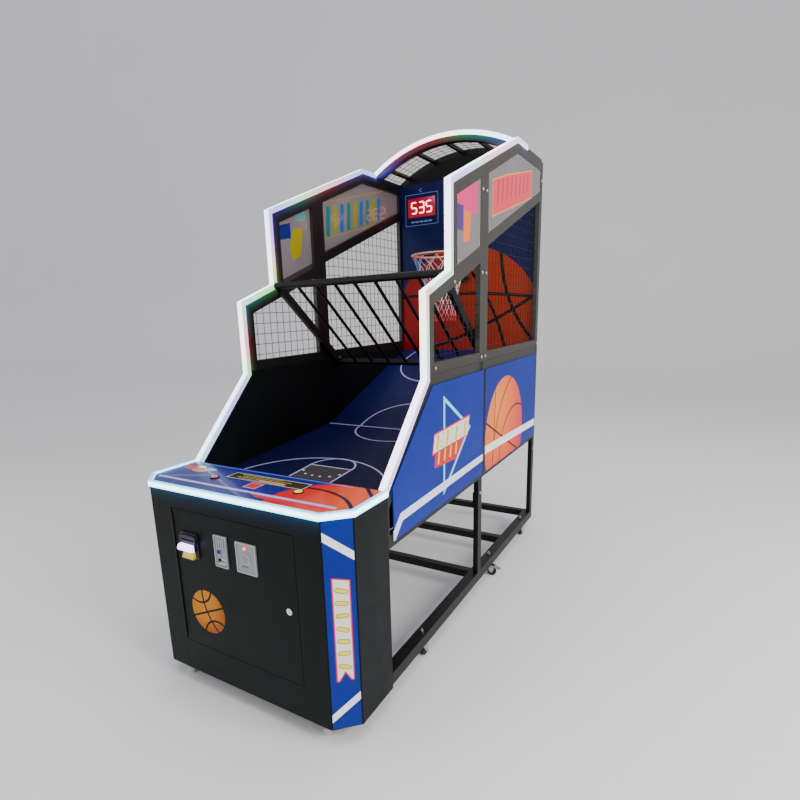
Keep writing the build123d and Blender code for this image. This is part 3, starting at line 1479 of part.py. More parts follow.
def brake_pedal():
    """A foot lever whose hub turns on the yoke's pin. Pressed down, its cam meets the tread."""
    with BuildPart() as lever:
        with Locations((pedal_u, 0, pedal_z)):
            Cylinder(pedal_hub, wheel_width, rotation=(90, 0, 0))
        with BuildSketch(Plane.XZ.offset(-wheel_width / 2 - 4)):
            with BuildLine():
                Polyline(
                    (pedal_u + 6.2, pedal_z + 3), (pedal_u + 16, pedal_z - 2),
                    (pedal_u + pedal_reach, pedal_z - 7), (pedal_u + pedal_reach, pedal_z - 11),
                    (pedal_u + 16, pedal_z - 6), (pedal_u + 6.2, pedal_z - 2), close=True,
                )
            make_face()
        extrude(amount=wheel_width + 8)
        with Locations((pedal_u + 4, 0, pedal_z)):
            Box(8, wheel_width, 4)
        with Locations((pedal_u, 0, pedal_z)):
            Cylinder(pedal_pin + running, wheel_width + 20, rotation=(90, 0, 0), mode=Mode.SUBTRACT)
    return lever.part


plain_fork = caster_fork(False)
brake_fork = caster_fork(True)
wheel_shape = caster_wheel()
pedal_shape = brake_pedal()
for row, (y, angle) in caster_rows.items():
    for side, sign in (("right", 1), ("left", -1)):
        turn = angle if sign > 0 else 180 - angle
        x = sign * caster_x
        with BuildPart() as fork:
            add(placed(brake_fork if row == "middle" else plain_fork, x, y, turn))
        fork.part.label = f"fork_{row}_{side}"
        export_step(fork.part, f"parts/fork_{row}_{side}.step")
        with BuildPart() as wheel:
            add(placed(wheel_shape, x, y, turn))
        wheel.part.label = f"wheel_{row}_{side}"
        export_step(wheel.part, f"parts/wheel_{row}_{side}.step")
        if row == "middle":
            with BuildPart() as pedal:
                add(placed(pedal_shape, x, y, turn))
            pedal.part.label = f"pedal_{row}_{side}"
            export_step(pedal.part, f"parts/pedal_{row}_{side}.step")

# ---------------------------------------------------------------- fasteners
# Each caster stem has a head under the yoke plate and a collar above it, and runs up through the
# rail to a nut.
stem_head = 4.0
nut_height = 8.0
fasteners = []
for row, (y, angle) in caster_rows.items():
    for sign in (1, -1):
        with BuildPart() as stem:
            with Locations((sign * caster_x, y, plate_top - plate_thickness - stem_head)):
                Cylinder(9, stem_head - gap, align=(Align.CENTER, Align.CENTER, Align.MIN))
                Cylinder(stem_radius, rail_top + 16 - (plate_top - plate_thickness - stem_head),
                         align=(Align.CENTER, Align.CENTER, Align.MIN))
            with Locations((sign * caster_x, y, plate_top + gap)):
                Cylinder(14, ground_clearance - plate_top - gap - weld,
                         align=(Align.CENTER, Align.CENTER, Align.MIN))
            with BuildSketch(Plane.XY.offset(rail_top + weld)):
                with Locations((sign * caster_x, y)):
                    RegularPolygon(9, 6)
            extrude(amount=nut_height)
        fasteners.append(stem.part)


def dome_bolt(y, z, x=tube_out, radius=8.0, height=4.0):
    """A domed bolt head on the outer face of the right-hand wall."""
    with BuildPart() as head:
        with BuildSketch(Plane.YZ.offset(x + weld)):
            with Locations((y, z)):
                Circle(radius)
        extrude(amount=height - weld)
        chamfer(head.edges().group_by(Axis.X)[-1], height * 0.35)
    return head.part


frame_bolts = [
    dome_bolt(front_post + 25, 1250), dome_bolt(rear_module + 25, 1250), dome_bolt(upright_front + 60, 1250),
    dome_bolt(rear_post + 25, 1250), dome_bolt(front_post + 25, 1640), dome_bolt(rear_module + 25, 1640),
    dome_bolt(step_front + 22, band(step_front)[1] + 25), dome_bolt(front_post + 25, 2000),
    dome_bolt(rear_module + 25, 2000), dome_bolt(rear_post + 25, 560), dome_bolt(rear_post + 25, 2200),
    dome_bolt(front_post + 25, 560),
]
panel_screws = []
for outline_points, margin in ((light_front, 16.0), (light_rear, 16.0)):
    for y, z in inset(outline_points, margin):
        panel_screws.append(dome_bolt(y, z, acrylic_face, 5.0, 3.0))
fasteners += both_sides(frame_bolts + panel_screws)
guard_bolt_y = guard_y + down[0] * (reach - 30)
guard_bolt_z = guard_height + down[1] * (reach - 30)
for sign in (1, -1):
    with BuildPart() as guard_bolt:
        with BuildSketch(Plane.YZ.offset(sign * (guard_half - rail_wide - weld))):
            with Locations((guard_bolt_y, guard_bolt_z + 14)):
                RegularPolygon(8, 6)
        extrude(amount=-sign * 6)
    fasteners.append(guard_bolt.part)
with BuildPart() as frame_fasteners:
    add(fasteners)
frame_fasteners.part.label = "frame_fasteners"
export_step(frame_fasteners.part, "parts/frame_fasteners.step")
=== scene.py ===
# %% [markdown]
# # An arcade basketball machine
# The real machine is a steel cage on casters behind a coin cabinet. A ball run slopes down to the
# player, a guard keeps hands out, and a hoop hangs on a printed backboard under a vaulted roof.
# The welded frame, boards and mechanisms arrive as finished solids from the workshop model, so the
# work here is their finishes, the cord net, the round wires, the lit digits and the studio.

# %% Load the frame
import math

import bpy
import numpy as np
from mathutils import Matrix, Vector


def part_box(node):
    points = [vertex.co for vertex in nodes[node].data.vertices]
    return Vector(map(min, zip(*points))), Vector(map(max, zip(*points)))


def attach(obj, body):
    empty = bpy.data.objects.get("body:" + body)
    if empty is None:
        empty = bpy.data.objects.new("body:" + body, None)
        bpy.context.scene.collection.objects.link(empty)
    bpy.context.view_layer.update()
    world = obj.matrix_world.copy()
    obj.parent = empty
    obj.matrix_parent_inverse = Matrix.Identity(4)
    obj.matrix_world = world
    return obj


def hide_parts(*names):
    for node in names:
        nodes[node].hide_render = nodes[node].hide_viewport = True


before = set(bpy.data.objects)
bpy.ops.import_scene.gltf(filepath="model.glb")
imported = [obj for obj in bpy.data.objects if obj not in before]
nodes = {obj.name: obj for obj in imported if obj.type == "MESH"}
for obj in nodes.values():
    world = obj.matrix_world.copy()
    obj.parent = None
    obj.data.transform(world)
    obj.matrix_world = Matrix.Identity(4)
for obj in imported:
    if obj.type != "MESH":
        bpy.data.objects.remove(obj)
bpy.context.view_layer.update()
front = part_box("cabinet_led")[0].y

# %% [markdown]
# ## Camera
# The machine is tall and the viewer stands close, at its right front corner, with the lens at eye
# height. A camera needs a place, three directions and a lens. The directions are worked out from an
# azimuth, a downward tilt and a small roll, which is easier to adjust than a matrix of numbers.

# %% Camera
turn, dip, roll = math.radians(32.31), math.radians(13.26), math.radians(-2.28)
ahead = np.array([-math.sin(turn) * math.cos(dip), math.cos(turn) * math.cos(dip), -math.sin(dip)])
level = np.array([math.cos(turn), math.sin(turn), 0.0])
above = np.cross(level, ahead)
right = level * math.cos(roll) + above * math.sin(roll)
up = np.cross(right, ahead)

lens = bpy.data.cameras.new("viewpoint")
lens.lens, lens.sensor_width = 24.1, 36.0
lens.shift_x, lens.shift_y = 0.0425, 0.0497
camera = bpy.data.objects.new("viewpoint", lens)
bpy.context.scene.collection.objects.link(camera)
spot = np.array([1.393, front - 1.245, 1.475])
pose = np.eye(4)
pose[:3, 0], pose[:3, 1], pose[:3, 2], pose[:3, 3] = right, up, -ahead, spot
camera.matrix_world = Matrix(pose.tolist())
bpy.context.scene.camera = camera
print("camera at", spot.round(3))

# %% [markdown]
# ## Shader arithmetic
# A print such as a court line or a basketball is a small sum over the surface's own coordinates.
# Written as nodes by hand such sums are hard to read, so one class wraps a socket and lets ordinary
# Python arithmetic add the nodes.


# %% Shader arithmetic
class Wire:
    """A socket of a shader node. Arithmetic on wires adds Math nodes, and node() adds any other."""

    def __init__(self, tree, socket):
        self.tree, self.socket = tree, socket

    def node(self, kind, settings=None, inputs=None, output=0):
        """A node of a kind, with its settings first, then the values or links of its sockets."""
        made = self.tree.nodes.new("ShaderNode" + kind)
        for key, value in (settings or {}).items():
            if key == "stops":
                ramp = made.color_ramp.elements
                while len(ramp) < len(value):
                    ramp.new(1.0)
                for stop, (at, colour) in zip(ramp, value):
                    stop.position, stop.color = at, colour
            else:
                setattr(made, key, value)
        for key, value in (inputs or {}).items():
            if isinstance(value, Wire):
                self.tree.links.new(value.socket, made.inputs[key])
            else:
                made.inputs[key].default_value = value
        return Wire(self.tree, made.outputs[output])

    def math(self, operation, first, second=0.0, third=0.0, clamp=False):
        settings = {"operation": operation, "use_clamp": clamp}
        return self.node("Math", settings, {0: first, 1: second, 2: third})

    def __add__(self, other):
        return self.math("ADD", self, other)

    def __radd__(self, other):
        return self.math("ADD", other, self)

    def __sub__(self, other):
        return self.math("SUBTRACT", self, other)

    def __rsub__(self, other):
        return self.math("SUBTRACT", other, self)

    def __mul__(self, other):
        return self.math("MULTIPLY", self, other)

    def __rmul__(self, other):
        return self.math("MULTIPLY", other, self)

    def __abs__(self):
        return self.math("ABSOLUTE", self)

    def __or__(self, other):
        """Where either mask is: the larger of two values."""
        return self.math("MAXIMUM", self, other)

    def __and__(self, other):
        """Where both masks are: the smaller of two values."""
        return self.math("MINIMUM", self, other)


# %% A finish and its parts
def rgb(red, green, blue):
    """An opaque colour from screen values 0 to 255, made linear as (v/255) to the power 2.2."""
    return tuple((v / 255.0) ** 2.2 for v in (red, green, blue)) + (1.0,)


def finish(name, **constants):
    """A new material, its shader, and a wire with each point's place on the object."""
    made = bpy.data.materials.new(name)
    made.use_nodes = True
    shader = made.node_tree.nodes["Principled BSDF"]
    for key, value in constants.items():
        shader.inputs[key.replace("_", " ")].default_value = value
    return made, shader, Wire(made.node_tree, None).node("TexCoord", output="Object")


def connect(shader, **wires):
    """Feeds wires to the shader's sockets."""
    for key, wire in wires.items():
        wire.tree.links.new(wire.socket, shader.inputs[key.replace("_", " ")])


def axes(place):
    """The three coordinates of a place, as wires."""
    split = place.node("SeparateXYZ", inputs={0: place})
    return [Wire(place.tree, socket) for socket in split.socket.node.outputs]


def mix(share, first, second):
    """The first colour where share is 0, the second where it is 1."""
    return share.node("Mix", {"data_type": "RGBA"}, {0: share, 6: first, 7: second}, output=2)


def noise(place, scale, detail=3.0, rough=0.55):
    """Cloudy noise from 0 to 1, about 0.5 on average."""
    settings = {"Scale": scale, "Detail": detail, "Roughness": rough}
    return place.node("TexNoise", None, {"Vector": place, **settings}, output=0)


def span(value, low, high):
    """0 below low, 1 above high, and a straight climb between them."""
    return value.math("MULTIPLY_ADD", value, 1.0 / (high - low), -low / (high - low), clamp=True)


def bump(height, strength, distance):
    """A normal that follows a height."""
    return height.node("Bump", None, {"Strength": strength, "Distance": distance, "Height": height})


def dress(material, *names):
    """Gives pieces of the frame a finish."""
    for name in names:
        nodes[name].data.materials.clear()
        nodes[name].data.materials.append(material)


# %% [markdown]
# ## Painted steel, boards and moulded parts
# The cage is powder-coated tube: nearly black, with a fine orange-peel skin that breaks up each
# reflection, and a little grey dust. The cabinet is black laminate on board with a green cast. Both
# get their grain from noise at the scale of the real one, a millimetre or two.


# %% Plain finishes
def coated(name, colour, dusty, rough, grain=420.0, depth=0.00012, metal=0.0, sheen=0.25):
    """A coated or moulded surface: base colour, cloudy dust, uneven gloss and a fine grain."""
    made, shader, place = finish(name, Metallic=metal, Specular_IOR_Level=sheen)
    cloud = span(noise(place, 5.0, 5.0), 0.42, 0.75)
    smear = noise(place, 23.0, 4.0)
    fine = noise(place, grain, 2.0)
    connect(shader, Base_Color=mix(cloud * 0.55 + smear * 0.12, colour, dusty),
            Roughness=rough - 0.07 + smear * 0.14, Normal=bump(fine, 0.35, depth))
    return made


dress(coated("base_black", rgb(13, 13, 14), rgb(26, 26, 26), 0.45), "base_frame", "guard_grille")
moulded_black = coated("moulded_black", rgb(16, 16, 18), rgb(32, 32, 34), 0.5, 900.0, 0.00008)
dress(moulded_black, "bill_validator", "coin_mechs", "button_bezels", "power_inlet", "hoop_sensor")
dress(moulded_black, "display_housings", "speaker")
dress(coated("liner_black", rgb(10, 13, 13), rgb(17, 20, 20), 0.55, 260.0, 0.0002, 0.0, 0.15),
      "inner_liners")
dress(coated("hinge_black", rgb(24, 27, 26), rgb(50, 50, 48), 0.38),
      "hinge_fixed_leaf", "hinge_door_leaf")
dress(coated("foot_rubber", rgb(196, 196, 192), rgb(150, 150, 146), 0.6, 600.0, 0.0001),
      "levelling_feet")
dress(coated("tread_black", rgb(24, 24, 25), rgb(60, 58, 55), 0.62, 700.0, 0.0002),
      *[name for name in nodes if name.startswith("wheel_")])
dress(coated("board_green", rgb(60, 84, 62), rgb(80, 100, 80), 0.45), "game_board")
dress(coated("tray_grey", rgb(120, 122, 122), rgb(92, 93, 93), 0.38, 500.0, 0.0001, 0.6),
      "coin_box", "power_supply")
print("plain finishes", len(bpy.data.materials))


# %% [markdown]
# Bright hardware is zinc plate on the casters and bolts and chrome on the lock. Plated steel is a
# metal whose roughness varies in cloudy patches, with fine drawn lines.


# %% Plated metal
def plated(name, colour, dull, rough, lines=0.0):
    """Bare or plated metal with patchy tarnish; lines adds drawn streaks along Z."""
    made, shader, place = finish(name, Metallic=1.0)
    patch = span(noise(place, 60.0, 4.0), 0.35, 0.7)
    long_way = place.node("Mapping", None, {"Vector": place, "Scale": (900.0, 900.0, 30.0)})
    streak = noise(long_way, 1.0, 2.0)
    connect(shader, Base_Color=mix(patch, colour, dull), Roughness=rough + patch * 0.12 + streak * lines,
            Normal=bump(streak, 0.2 + lines, 0.00005))
    return made


zinc = plated("zinc", rgb(205, 204, 198), rgb(160, 158, 150), 0.26)
dress(zinc, "frame_fasteners", *[name for name in nodes if name.startswith(("fork_", "pedal_"))])
dress(plated("chrome", rgb(232, 232, 230), rgb(205, 205, 203), 0.1), "door_lock")
dress(plated("flap_steel", rgb(226, 228, 224), rgb(190, 192, 188), 0.2), "return_flap")


# %% [markdown]
# ## Prints
# Every print is a shape in two coordinates of a flat face. A shape is kept as a signed distance:
# negative inside, positive outside, zero on its edge. Distances combine with min and max, and one
# last step turns a distance into a mask whose edge is half a millimetre soft.


# %% Distances and masks
def flat(first, second):
    """A point on a flat face, from two coordinates."""
    return first.node("CombineXYZ", None, {0: first, 1: second})


def vector(point, operation, other, output="Vector"):
    """One step of vector arithmetic."""
    return point.node("VectorMath", {"operation": operation}, {0: point, 1: other}, output)


def to_centre(point, centre):
    """Distance to a centre."""
    return vector(point, "DISTANCE", (centre[0], centre[1], 0.0), "Value")


def past(point, corner, direction):
    """Signed distance past a straight edge through a corner, to the right of its direction."""
    length = math.hypot(*direction)
    normal = (direction[1] / length, -direction[0] / length)
    offset = normal[0] * corner[0] + normal[1] * corner[1]
    return vector(point, "DOT_PRODUCT", (normal[0], normal[1], 0.0), "Value") - offset


def polygon(point, corners):
    """Signed distance to a convex polygon whose corners run anticlockwise: the largest edge distance."""
    worst = None
    for start, end in zip(corners, corners[1:] + corners[:1]):
        edge = past(point, start, (end[0] - start[0], end[1] - start[1]))
        worst = edge if worst is None else worst | edge
    return worst


def rectangle(point, low, high):
    """Signed distance to an upright rectangle between two opposite corners."""
    return polygon(point, [low, (high[0], low[1]), high, (low[0], high[1])])


def stroke(point, start, end, width):
    """Signed distance to a straight line of a width: the point less its nearest place on the line."""
    along = (end[0] - start[0], end[1] - start[1], 0.0)
    square = along[0] ** 2 + along[1] ** 2
    moved = vector(point, "SUBTRACT", (start[0], start[1], 0.0))
    share = vector(moved, "DOT_PRODUCT", tuple(v / square for v in along), "Value")
    held = share.math("MULTIPLY", share, 1.0, clamp=True)
    foot = held.node("VectorMath", {"operation": "SCALE"}, {0: along, 3: held})
    return vector(moved, "DISTANCE", foot, "Value") - width / 2


def outline(distance, width):
    """The line of a width that runs along a shape's edge."""
    return abs(distance) - width / 2


def arc(point, first, middle, last):
    """Unsigned distance to the circle through three points, whose centre is as far from each."""
    first, others = np.array(first), np.array([middle, last])
    hub = np.linalg.solve(2 * (others - first), (others ** 2).sum(axis=1) - (first ** 2).sum())
    return abs(to_centre(point, tuple(hub.tolist())) - math.dist(hub, first))


def mask(distance, soft=0.0006):
    """1 inside and 0 outside, over a soft edge."""
    return distance.math("MULTIPLY_ADD", distance, -1.0 / soft, 0.5, clamp=True)


def seams(point, centre, radius, tilt, width):
    """A basketball's seams: one straight, one bowed across it, and a round arc at each side."""
    along = (math.cos(tilt), math.sin(tilt))
    across = (-along[1], along[0])
    straight = abs(past(point, centre, along))
    bow = 2.4 * radius
    bow_hub = (centre[0] + along[0] * bow * 0.97, centre[1] + along[1] * bow * 0.97)
    bowed = abs(to_centre(point, bow_hub) - bow)
    found = straight & bowed
    for side in (1, -1):
        out = side * radius * 1.25
        hub = (centre[0] + across[0] * out, centre[1] + across[1] * out)
        found = found & abs(to_centre(point, hub) - radius * 0.8)
    return found - width / 2


def ball(point, centre, radius, tilt, width, colour, light, dark, seam, ground):
    """A printed basketball over a ground colour: a shaded disc with dark seams and a pebbled skin."""
    offset = (centre[0] - radius * 0.35, centre[1] + radius * 0.35)
    shade = span(to_centre(point, offset), 0.0, radius * 1.35)
    pebble = noise(point, 54.0 / radius, 1.0)
    skin = mix(shade, light, colour)
    skin = mix(span(shade, 0.6, 1.0), skin, dark)
    skin = mix(span(pebble, 0.35, 0.8) * 0.18, skin, dark)
    skin = mix(mask(seams(point, centre, radius, tilt, width)), skin, seam)
    return mix(mask(to_centre(point, centre) - radius), ground, skin)


def paint(ground, colour, distance):
    """A colour laid over a ground inside a shape."""
    return mix(mask(distance), ground, colour)


def bars(ground, point, starts, lean, width, rim, rim_colour, colours):
    """A row of leaning bars in place of lettering, each with a darker rim."""
    for index, start in enumerate(starts):
        bar = stroke(point, start, (start[0] + lean[0], start[1] + lean[1]), width)
        ground = paint(ground, rim_colour, bar - rim)
        ground = paint(ground, colours[index % len(colours)], bar)
    return ground


print("print tools ready")

# %% [markdown]
# ## Cabinet
# The boards are black laminate with a faint green cast. The service door carries a printed
# basketball, a little worn. The chamfered corners are blue sheets with two white bands and a
# swallow-tailed ribbon; the lettering on the real ribbon is left out, and plain bars stand there.

# %% Cabinet boards and door
door_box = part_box("front_door")
strip_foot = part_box("cabinet_led")[0].z
glow_drop = 0.081
black = (0.0, 0.0, 0.0, 1.0)


def laminate(name, colour, dusty):
    """Black laminate: cloudy handling marks, a leathery grain and a soft satin gloss. Just below
    the light strip its front face also glows in the strip's blue, a painted spill of the strip's light,
    as the cube of the closeness."""
    made, shader, place = finish(name, Specular_IOR_Level=0.15, Emission_Strength=0.35)
    cloud = span(noise(place, 3.5, 6.0), 0.4, 0.8)
    grain = place.node("TexVoronoi", None, {"Vector": place, "Scale": 520.0})
    marks = noise(place, 14.0, 5.0)
    x, y, z = axes(place)
    close = span(z, strip_foot - glow_drop, strip_foot)
    outside = mask(y - (front + 0.0065), 0.001)
    lit = mix(close * close * close * outside, black, rgb(8, 96, 150))
    connect(shader, Emission_Color=lit, Roughness=0.36 + marks * 0.2,
            Normal=bump(grain, 0.25, 0.00015))
    return shader, place, mix(cloud * 0.6 + marks * 0.1, colour, dusty), made


shader, place, ground, laminate_black = laminate("laminate_black", rgb(4, 12, 12), rgb(9, 21, 21))
connect(shader, Base_Color=ground)
dress(laminate_black, "cabinet_shell")

shader, place, ground, door_black = laminate("door_black", rgb(4, 12, 12), rgb(10, 22, 22))
x, y, z = axes(place)
ball_at = (door_box[0].x + 0.142, door_box[0].z + 0.163)
on_door = flat(x, z)
picture = ball(on_door, ball_at, 0.09, math.radians(24), 0.0085, rgb(196, 116, 14), rgb(206, 132, 26),
               rgb(160, 82, 12), rgb(9, 12, 10), ground)
outer_face = mask(y - (door_box[0].y + 0.001), 0.0004)
connect(shader, Base_Color=mix(outer_face, ground, picture))
dress(door_black, "front_door")


# %% Chamfered corner panels
def banner(point, centre, half_width, top, bottom):
    """Distances of a swallow-tailed ribbon and of the notch in its tail."""
    left, right_edge = centre - half_width, centre + half_width
    body = polygon(point, [(left, bottom), (right_edge, bottom), (right_edge, top - 0.012),
                           (left, top)])
    notch = polygon(point, [(left - 0.002, bottom - 0.01), (right_edge + 0.002, bottom - 0.01),
                            (centre, bottom + half_width * 1.3)])
    return body | (0.0 - notch)


panel_blue, panel_light = rgb(4, 34, 128), rgb(8, 44, 142)
made, shader, place = finish("corner_print", Specular_IOR_Level=0.2)
x, y, z = axes(place)
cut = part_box("corner_panels")[1].x - 0.0785
across = (abs(x) - cut) * math.sqrt(2.0)
point = flat(across, z)
ground = mix(span(noise(place, 4.0), 0.3, 0.8), panel_blue, panel_light)
white = rgb(250, 252, 255)
for lower_start, lower_end, rise in ((0.781, 0.692, 0.032), (0.094, 0.182, 0.031)):
    slope = (0.119, lower_end - lower_start)
    band = (past(point, (0.0, lower_start), slope)
            | (0.0 - past(point, (0.0, lower_start + rise), slope)))
    ground = paint(ground, white, band)
ribbon = banner(point, 0.062, 0.027, 0.640, 0.262)
ground = paint(ground, rgb(226, 40, 78), ribbon - 0.0045)
ground = paint(ground, rgb(238, 232, 214), ribbon)
for index in range(7):
    level_z = 0.600 - index * 0.047
    bar = stroke(point, (0.048, level_z), (0.076, level_z - 0.010 + 0.004 * (index % 3)), 0.013)
    ground = paint(ground, rgb(40, 42, 60), bar - 0.002)
    ground = paint(ground, rgb(250, 222, 40), bar)
connect(shader, Base_Color=ground, Roughness=0.3 + noise(place, 30.0) * 0.12)
dress(made, "corner_panels")
print("cabinet dressed")

# %% [markdown]
# ## Service door units
# The bill unit is dark plastic round a lit purple-white snout, with a yellow tray below. The two
# coin plates are brushed grey metal. The frame model holds their shapes, so one finish per piece
# changes colour by place.

# %% Bill unit and coin plates
bill_low, bill_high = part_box("bill_bezel")
made, shader, place = finish("bill_plastic", Emission_Strength=5.0)
x, y, z = axes(place)
forward = mask(y - (bill_low.y + 0.0185), 0.002)
middle_z = (bill_low.z + bill_high.z) / 2
snout = forward & mask(abs(z - (middle_z - 0.003)) - 0.018, 0.002)
tray = mask(z - (middle_z - 0.0205), 0.001) & mask(y - (bill_high.y - 0.0065), 0.001)
skin = mix(span(noise(place, 40.0), 0.3, 0.8) * 0.5, rgb(20, 20, 25), rgb(38, 38, 44))
skin = mix(tray, skin, rgb(214, 190, 40))
skin = mix(snout, skin, rgb(232, 222, 255))
glow = mix(snout, black, rgb(198, 168, 255))
connect(shader, Base_Color=skin, Emission_Color=glow, Roughness=0.35 + noise(place, 90.0) * 0.15,
        Normal=bump(noise(place, 800.0), 0.2, 0.0001))
dress(made, "bill_bezel")

plate_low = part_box("coin_plates")[0]
made, shader, place = finish("coin_plate_grey", Metallic=0.35)
x, y, z = axes(place)
drawn = place.node("Mapping", None, {"Vector": place, "Scale": (700.0, 700.0, 20.0)})
brushed = noise(drawn, 1.0)
raised = mask(y - (plate_low.y + 0.0012), 0.0006)
skin = mix(brushed * 0.5, rgb(150, 156, 160), rgb(118, 124, 130))
skin = mix(raised, skin, rgb(178, 184, 188))
window = rectangle(flat(x, z), (plate_low.x + 0.014, plate_low.z + 0.054),
                   (plate_low.x + 0.034, plate_low.z + 0.068))
skin = paint(skin, rgb(26, 34, 96), window)
connect(shader, Base_Color=skin, Roughness=0.34 + brushed * 0.16, Normal=bump(brushed, 0.25, 0.00006))
dress(made, "coin_plates")


# %% Buttons and lenses
def lens_plastic(name, colour, glow, strength, hub=None):
    """A translucent coloured lens: gloss outside, a warm glow from its lamp, brightest in the middle."""
    made, shader, place = finish(name, Coat_Weight=1.0, Coat_Roughness=0.04, Emission_Strength=strength,
                                 Roughness=0.22, Subsurface_Weight=0.2)
    cloud = noise(place, 70.0)
    light = mix(cloud * 0.5, glow, colour)
    if hub is not None:
        x, y, z = axes(place)
        near = 1.0 - span(to_centre(flat(x, z), hub), 0.001, 0.0055)
        light = mix(near, light, rgb(255, 210, 205))
    connect(shader, Base_Color=mix(cloud * 0.3, colour, glow), Emission_Color=light)
    return made


reject_low, reject_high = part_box("reject_button")
reject_hub = ((reject_low.x + reject_high.x) / 2, (reject_low.z + reject_high.z) / 2)
dress(lens_plastic("reject_lens", rgb(220, 30, 60), rgb(255, 40, 70), 2.2, reject_hub), "reject_button")
dress(lens_plastic("red_lens", rgb(222, 30, 62), rgb(255, 50, 80), 0.5), "button_red")
dress(lens_plastic("yellow_lens", rgb(246, 216, 52), rgb(255, 226, 80), 0.35), "button_yellow")
print("door units dressed")

# %% [markdown]
# ## Deck
# The play deck is one printed laminate: royal blue, a huge basketball cropped by the right edge, a
# coloured splash at the left, a pale border and a small red square between the buttons. The
# instruction strip is printed in bronze tones with rules in place of its text.

# %% Deck print
made, shader, place = finish("deck_print", Coat_Weight=0.25, Coat_Roughness=0.06, Specular_IOR_Level=0.2)
x, y, z = axes(place)
point = flat(x, y - front)
ground = mix(span(noise(place, 6.0), 0.35, 0.75), rgb(4, 20, 110), rgb(8, 28, 126))
splash = [((-0.405, 0.222), 0.040, rgb(214, 62, 26)), ((-0.355, 0.205), 0.030, rgb(226, 130, 70)),
          ((-0.315, 0.232), 0.024, rgb(170, 180, 226)), ((-0.380, 0.246), 0.018, rgb(238, 238, 226))]
for spot_at, size, colour in splash:
    squashed = point.node("Mapping", None, {"Vector": point, "Scale": (0.6, 1.3, 1.0),
                                            "Location": (-0.6 * spot_at[0], -1.3 * spot_at[1], 0.0)})
    ground = paint(ground, colour, to_centre(squashed, (0.0, 0.0)) - size * 0.8)
skin = mix(span(x, 0.22, 0.42), rgb(206, 16, 26), rgb(226, 82, 40))
skin = mix(span(noise(place, 260.0, 1.0), 0.4, 0.8) * 0.25, skin, rgb(160, 20, 26))
lines = ((abs(to_centre(point, (0.25, -0.06)) - 0.277) - 0.007)
         & stroke(point, (0.393, 0.322), (0.492, 0.213), 0.014))
skin = paint(skin, rgb(6, 12, 50), lines)
beyond = rectangle(point, (0.37, -0.2), (0.6, 0.306))
ground = mix(mask((to_centre(point, (0.372, 0.085)) - 0.226) & beyond), ground, skin)
red_tail = polygon(point, [(0.10, 0.052), (0.40, 0.052), (0.40, 0.074), (0.06, 0.074)])
ground = paint(ground, rgb(214, 18, 60), red_tail)
ground = paint(ground, rgb(176, 176, 236), stroke(point, (-0.445, 0.082), (0.42, 0.085), 0.017))
ground = paint(ground, rgb(120, 140, 216), stroke(point, (-0.445, 0.086), (-0.26, 0.172), 0.006))
square = rectangle(point, (-0.022, 0.120), (0.035, 0.174))
ground = paint(ground, rgb(214, 10, 50), square)
ground = paint(ground, rgb(206, 176, 216), outline(square, 0.004))
ground = paint(ground, rgb(110, 130, 206), stroke(point, (-0.47, 0.289), (0.36, 0.289), 0.006))
connect(shader, Base_Color=ground, Roughness=0.3 + noise(place, 40.0) * 0.12)
dress(made, "control_panel")

# %% Instruction strip
strip_low, strip_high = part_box("instruction_window")
made, shader, place = finish("instruction_print", Coat_Weight=0.3, Coat_Roughness=0.05,
                             Specular_IOR_Level=0.2)
x, y, z = axes(place)
point = flat(x, y)
middle = ((strip_low.x + strip_high.x) / 2, (strip_low.y + strip_high.y) / 2)
ground = mix(noise(place, 18.0), rgb(38, 34, 30), rgb(72, 60, 40))
for index in range(4):
    row = middle[1] + 0.021 - index * 0.014
    ends = (middle[0] - 0.15 + 0.02 * (index % 2), middle[0] + 0.06 + 0.025 * ((index * 2) % 3))
    ground = paint(ground, rgb(214, 190, 120), stroke(point, (ends[0], row), (ends[1], row), 0.0035))
block = rectangle(point, (middle[0] - 0.03, middle[1] - 0.026), (middle[0] + 0.10, middle[1] - 0.008))
ground = paint(ground, rgb(214, 150, 90), block)
edge = rectangle(point, (strip_low.x, strip_low.y), (strip_high.x, strip_high.y))
ground = paint(ground, rgb(196, 200, 214), outline(edge + 0.006, 0.004))
connect(shader, Base_Color=ground, Roughness=0.15 + noise(place, 60.0) * 0.08)
dress(made, "instruction_window")
print("deck dressed")

# %% [markdown]
# ## Side panels
# The blue boards below the cage carry a pale triangle, a tilted badge, a white band with a kink, and
# a big basketball cropped by the seam. The badge's lettering is replaced with slanted bars.

# %% Side panel print
made, shader, place = finish("side_print", Specular_IOR_Level=0.2)
x, y, z = axes(place)
along = y - front
point = flat(along, z)
module_seam, dark_edge = 1.285, 1.316
plain = mix(span(noise(place, 3.0), 0.3, 0.8), panel_blue, panel_light)
hub, size = (1.64, 0.785), 0.328
from_light = to_centre(point, (1.50, 0.98))
skin = mix(span(from_light, 0.0, 0.30), rgb(246, 140, 54), rgb(240, 100, 48))
skin = mix(span(from_light, 0.26, 0.52), skin, rgb(214, 36, 66))
skin = mix(span(noise(place, 170.0, 1.0), 0.35, 0.8) * 0.15, skin, rgb(200, 60, 40))
lines = (abs(to_centre(point, (1.945, 0.629)) - 0.513)
         & abs(to_centre(point, (1.83, 0.64)) - 0.288)) - 0.005
lines = (lines & stroke(point, (1.472, 1.08), (1.447, 0.80), 0.009)
         & stroke(point, (1.30, 0.922), (1.90, 0.640), 0.012))
skin = paint(skin, rgb(96, 26, 16), lines)
rear_board = mix(mask(to_centre(point, hub) - size), plain, skin)
rear_board = paint(rear_board, rgb(250, 250, 246), stroke(point, (1.25, 0.773), (2.4, 0.738), 0.043))
rear_board = paint(rear_board, rgb(22, 22, 24), along - dark_edge)
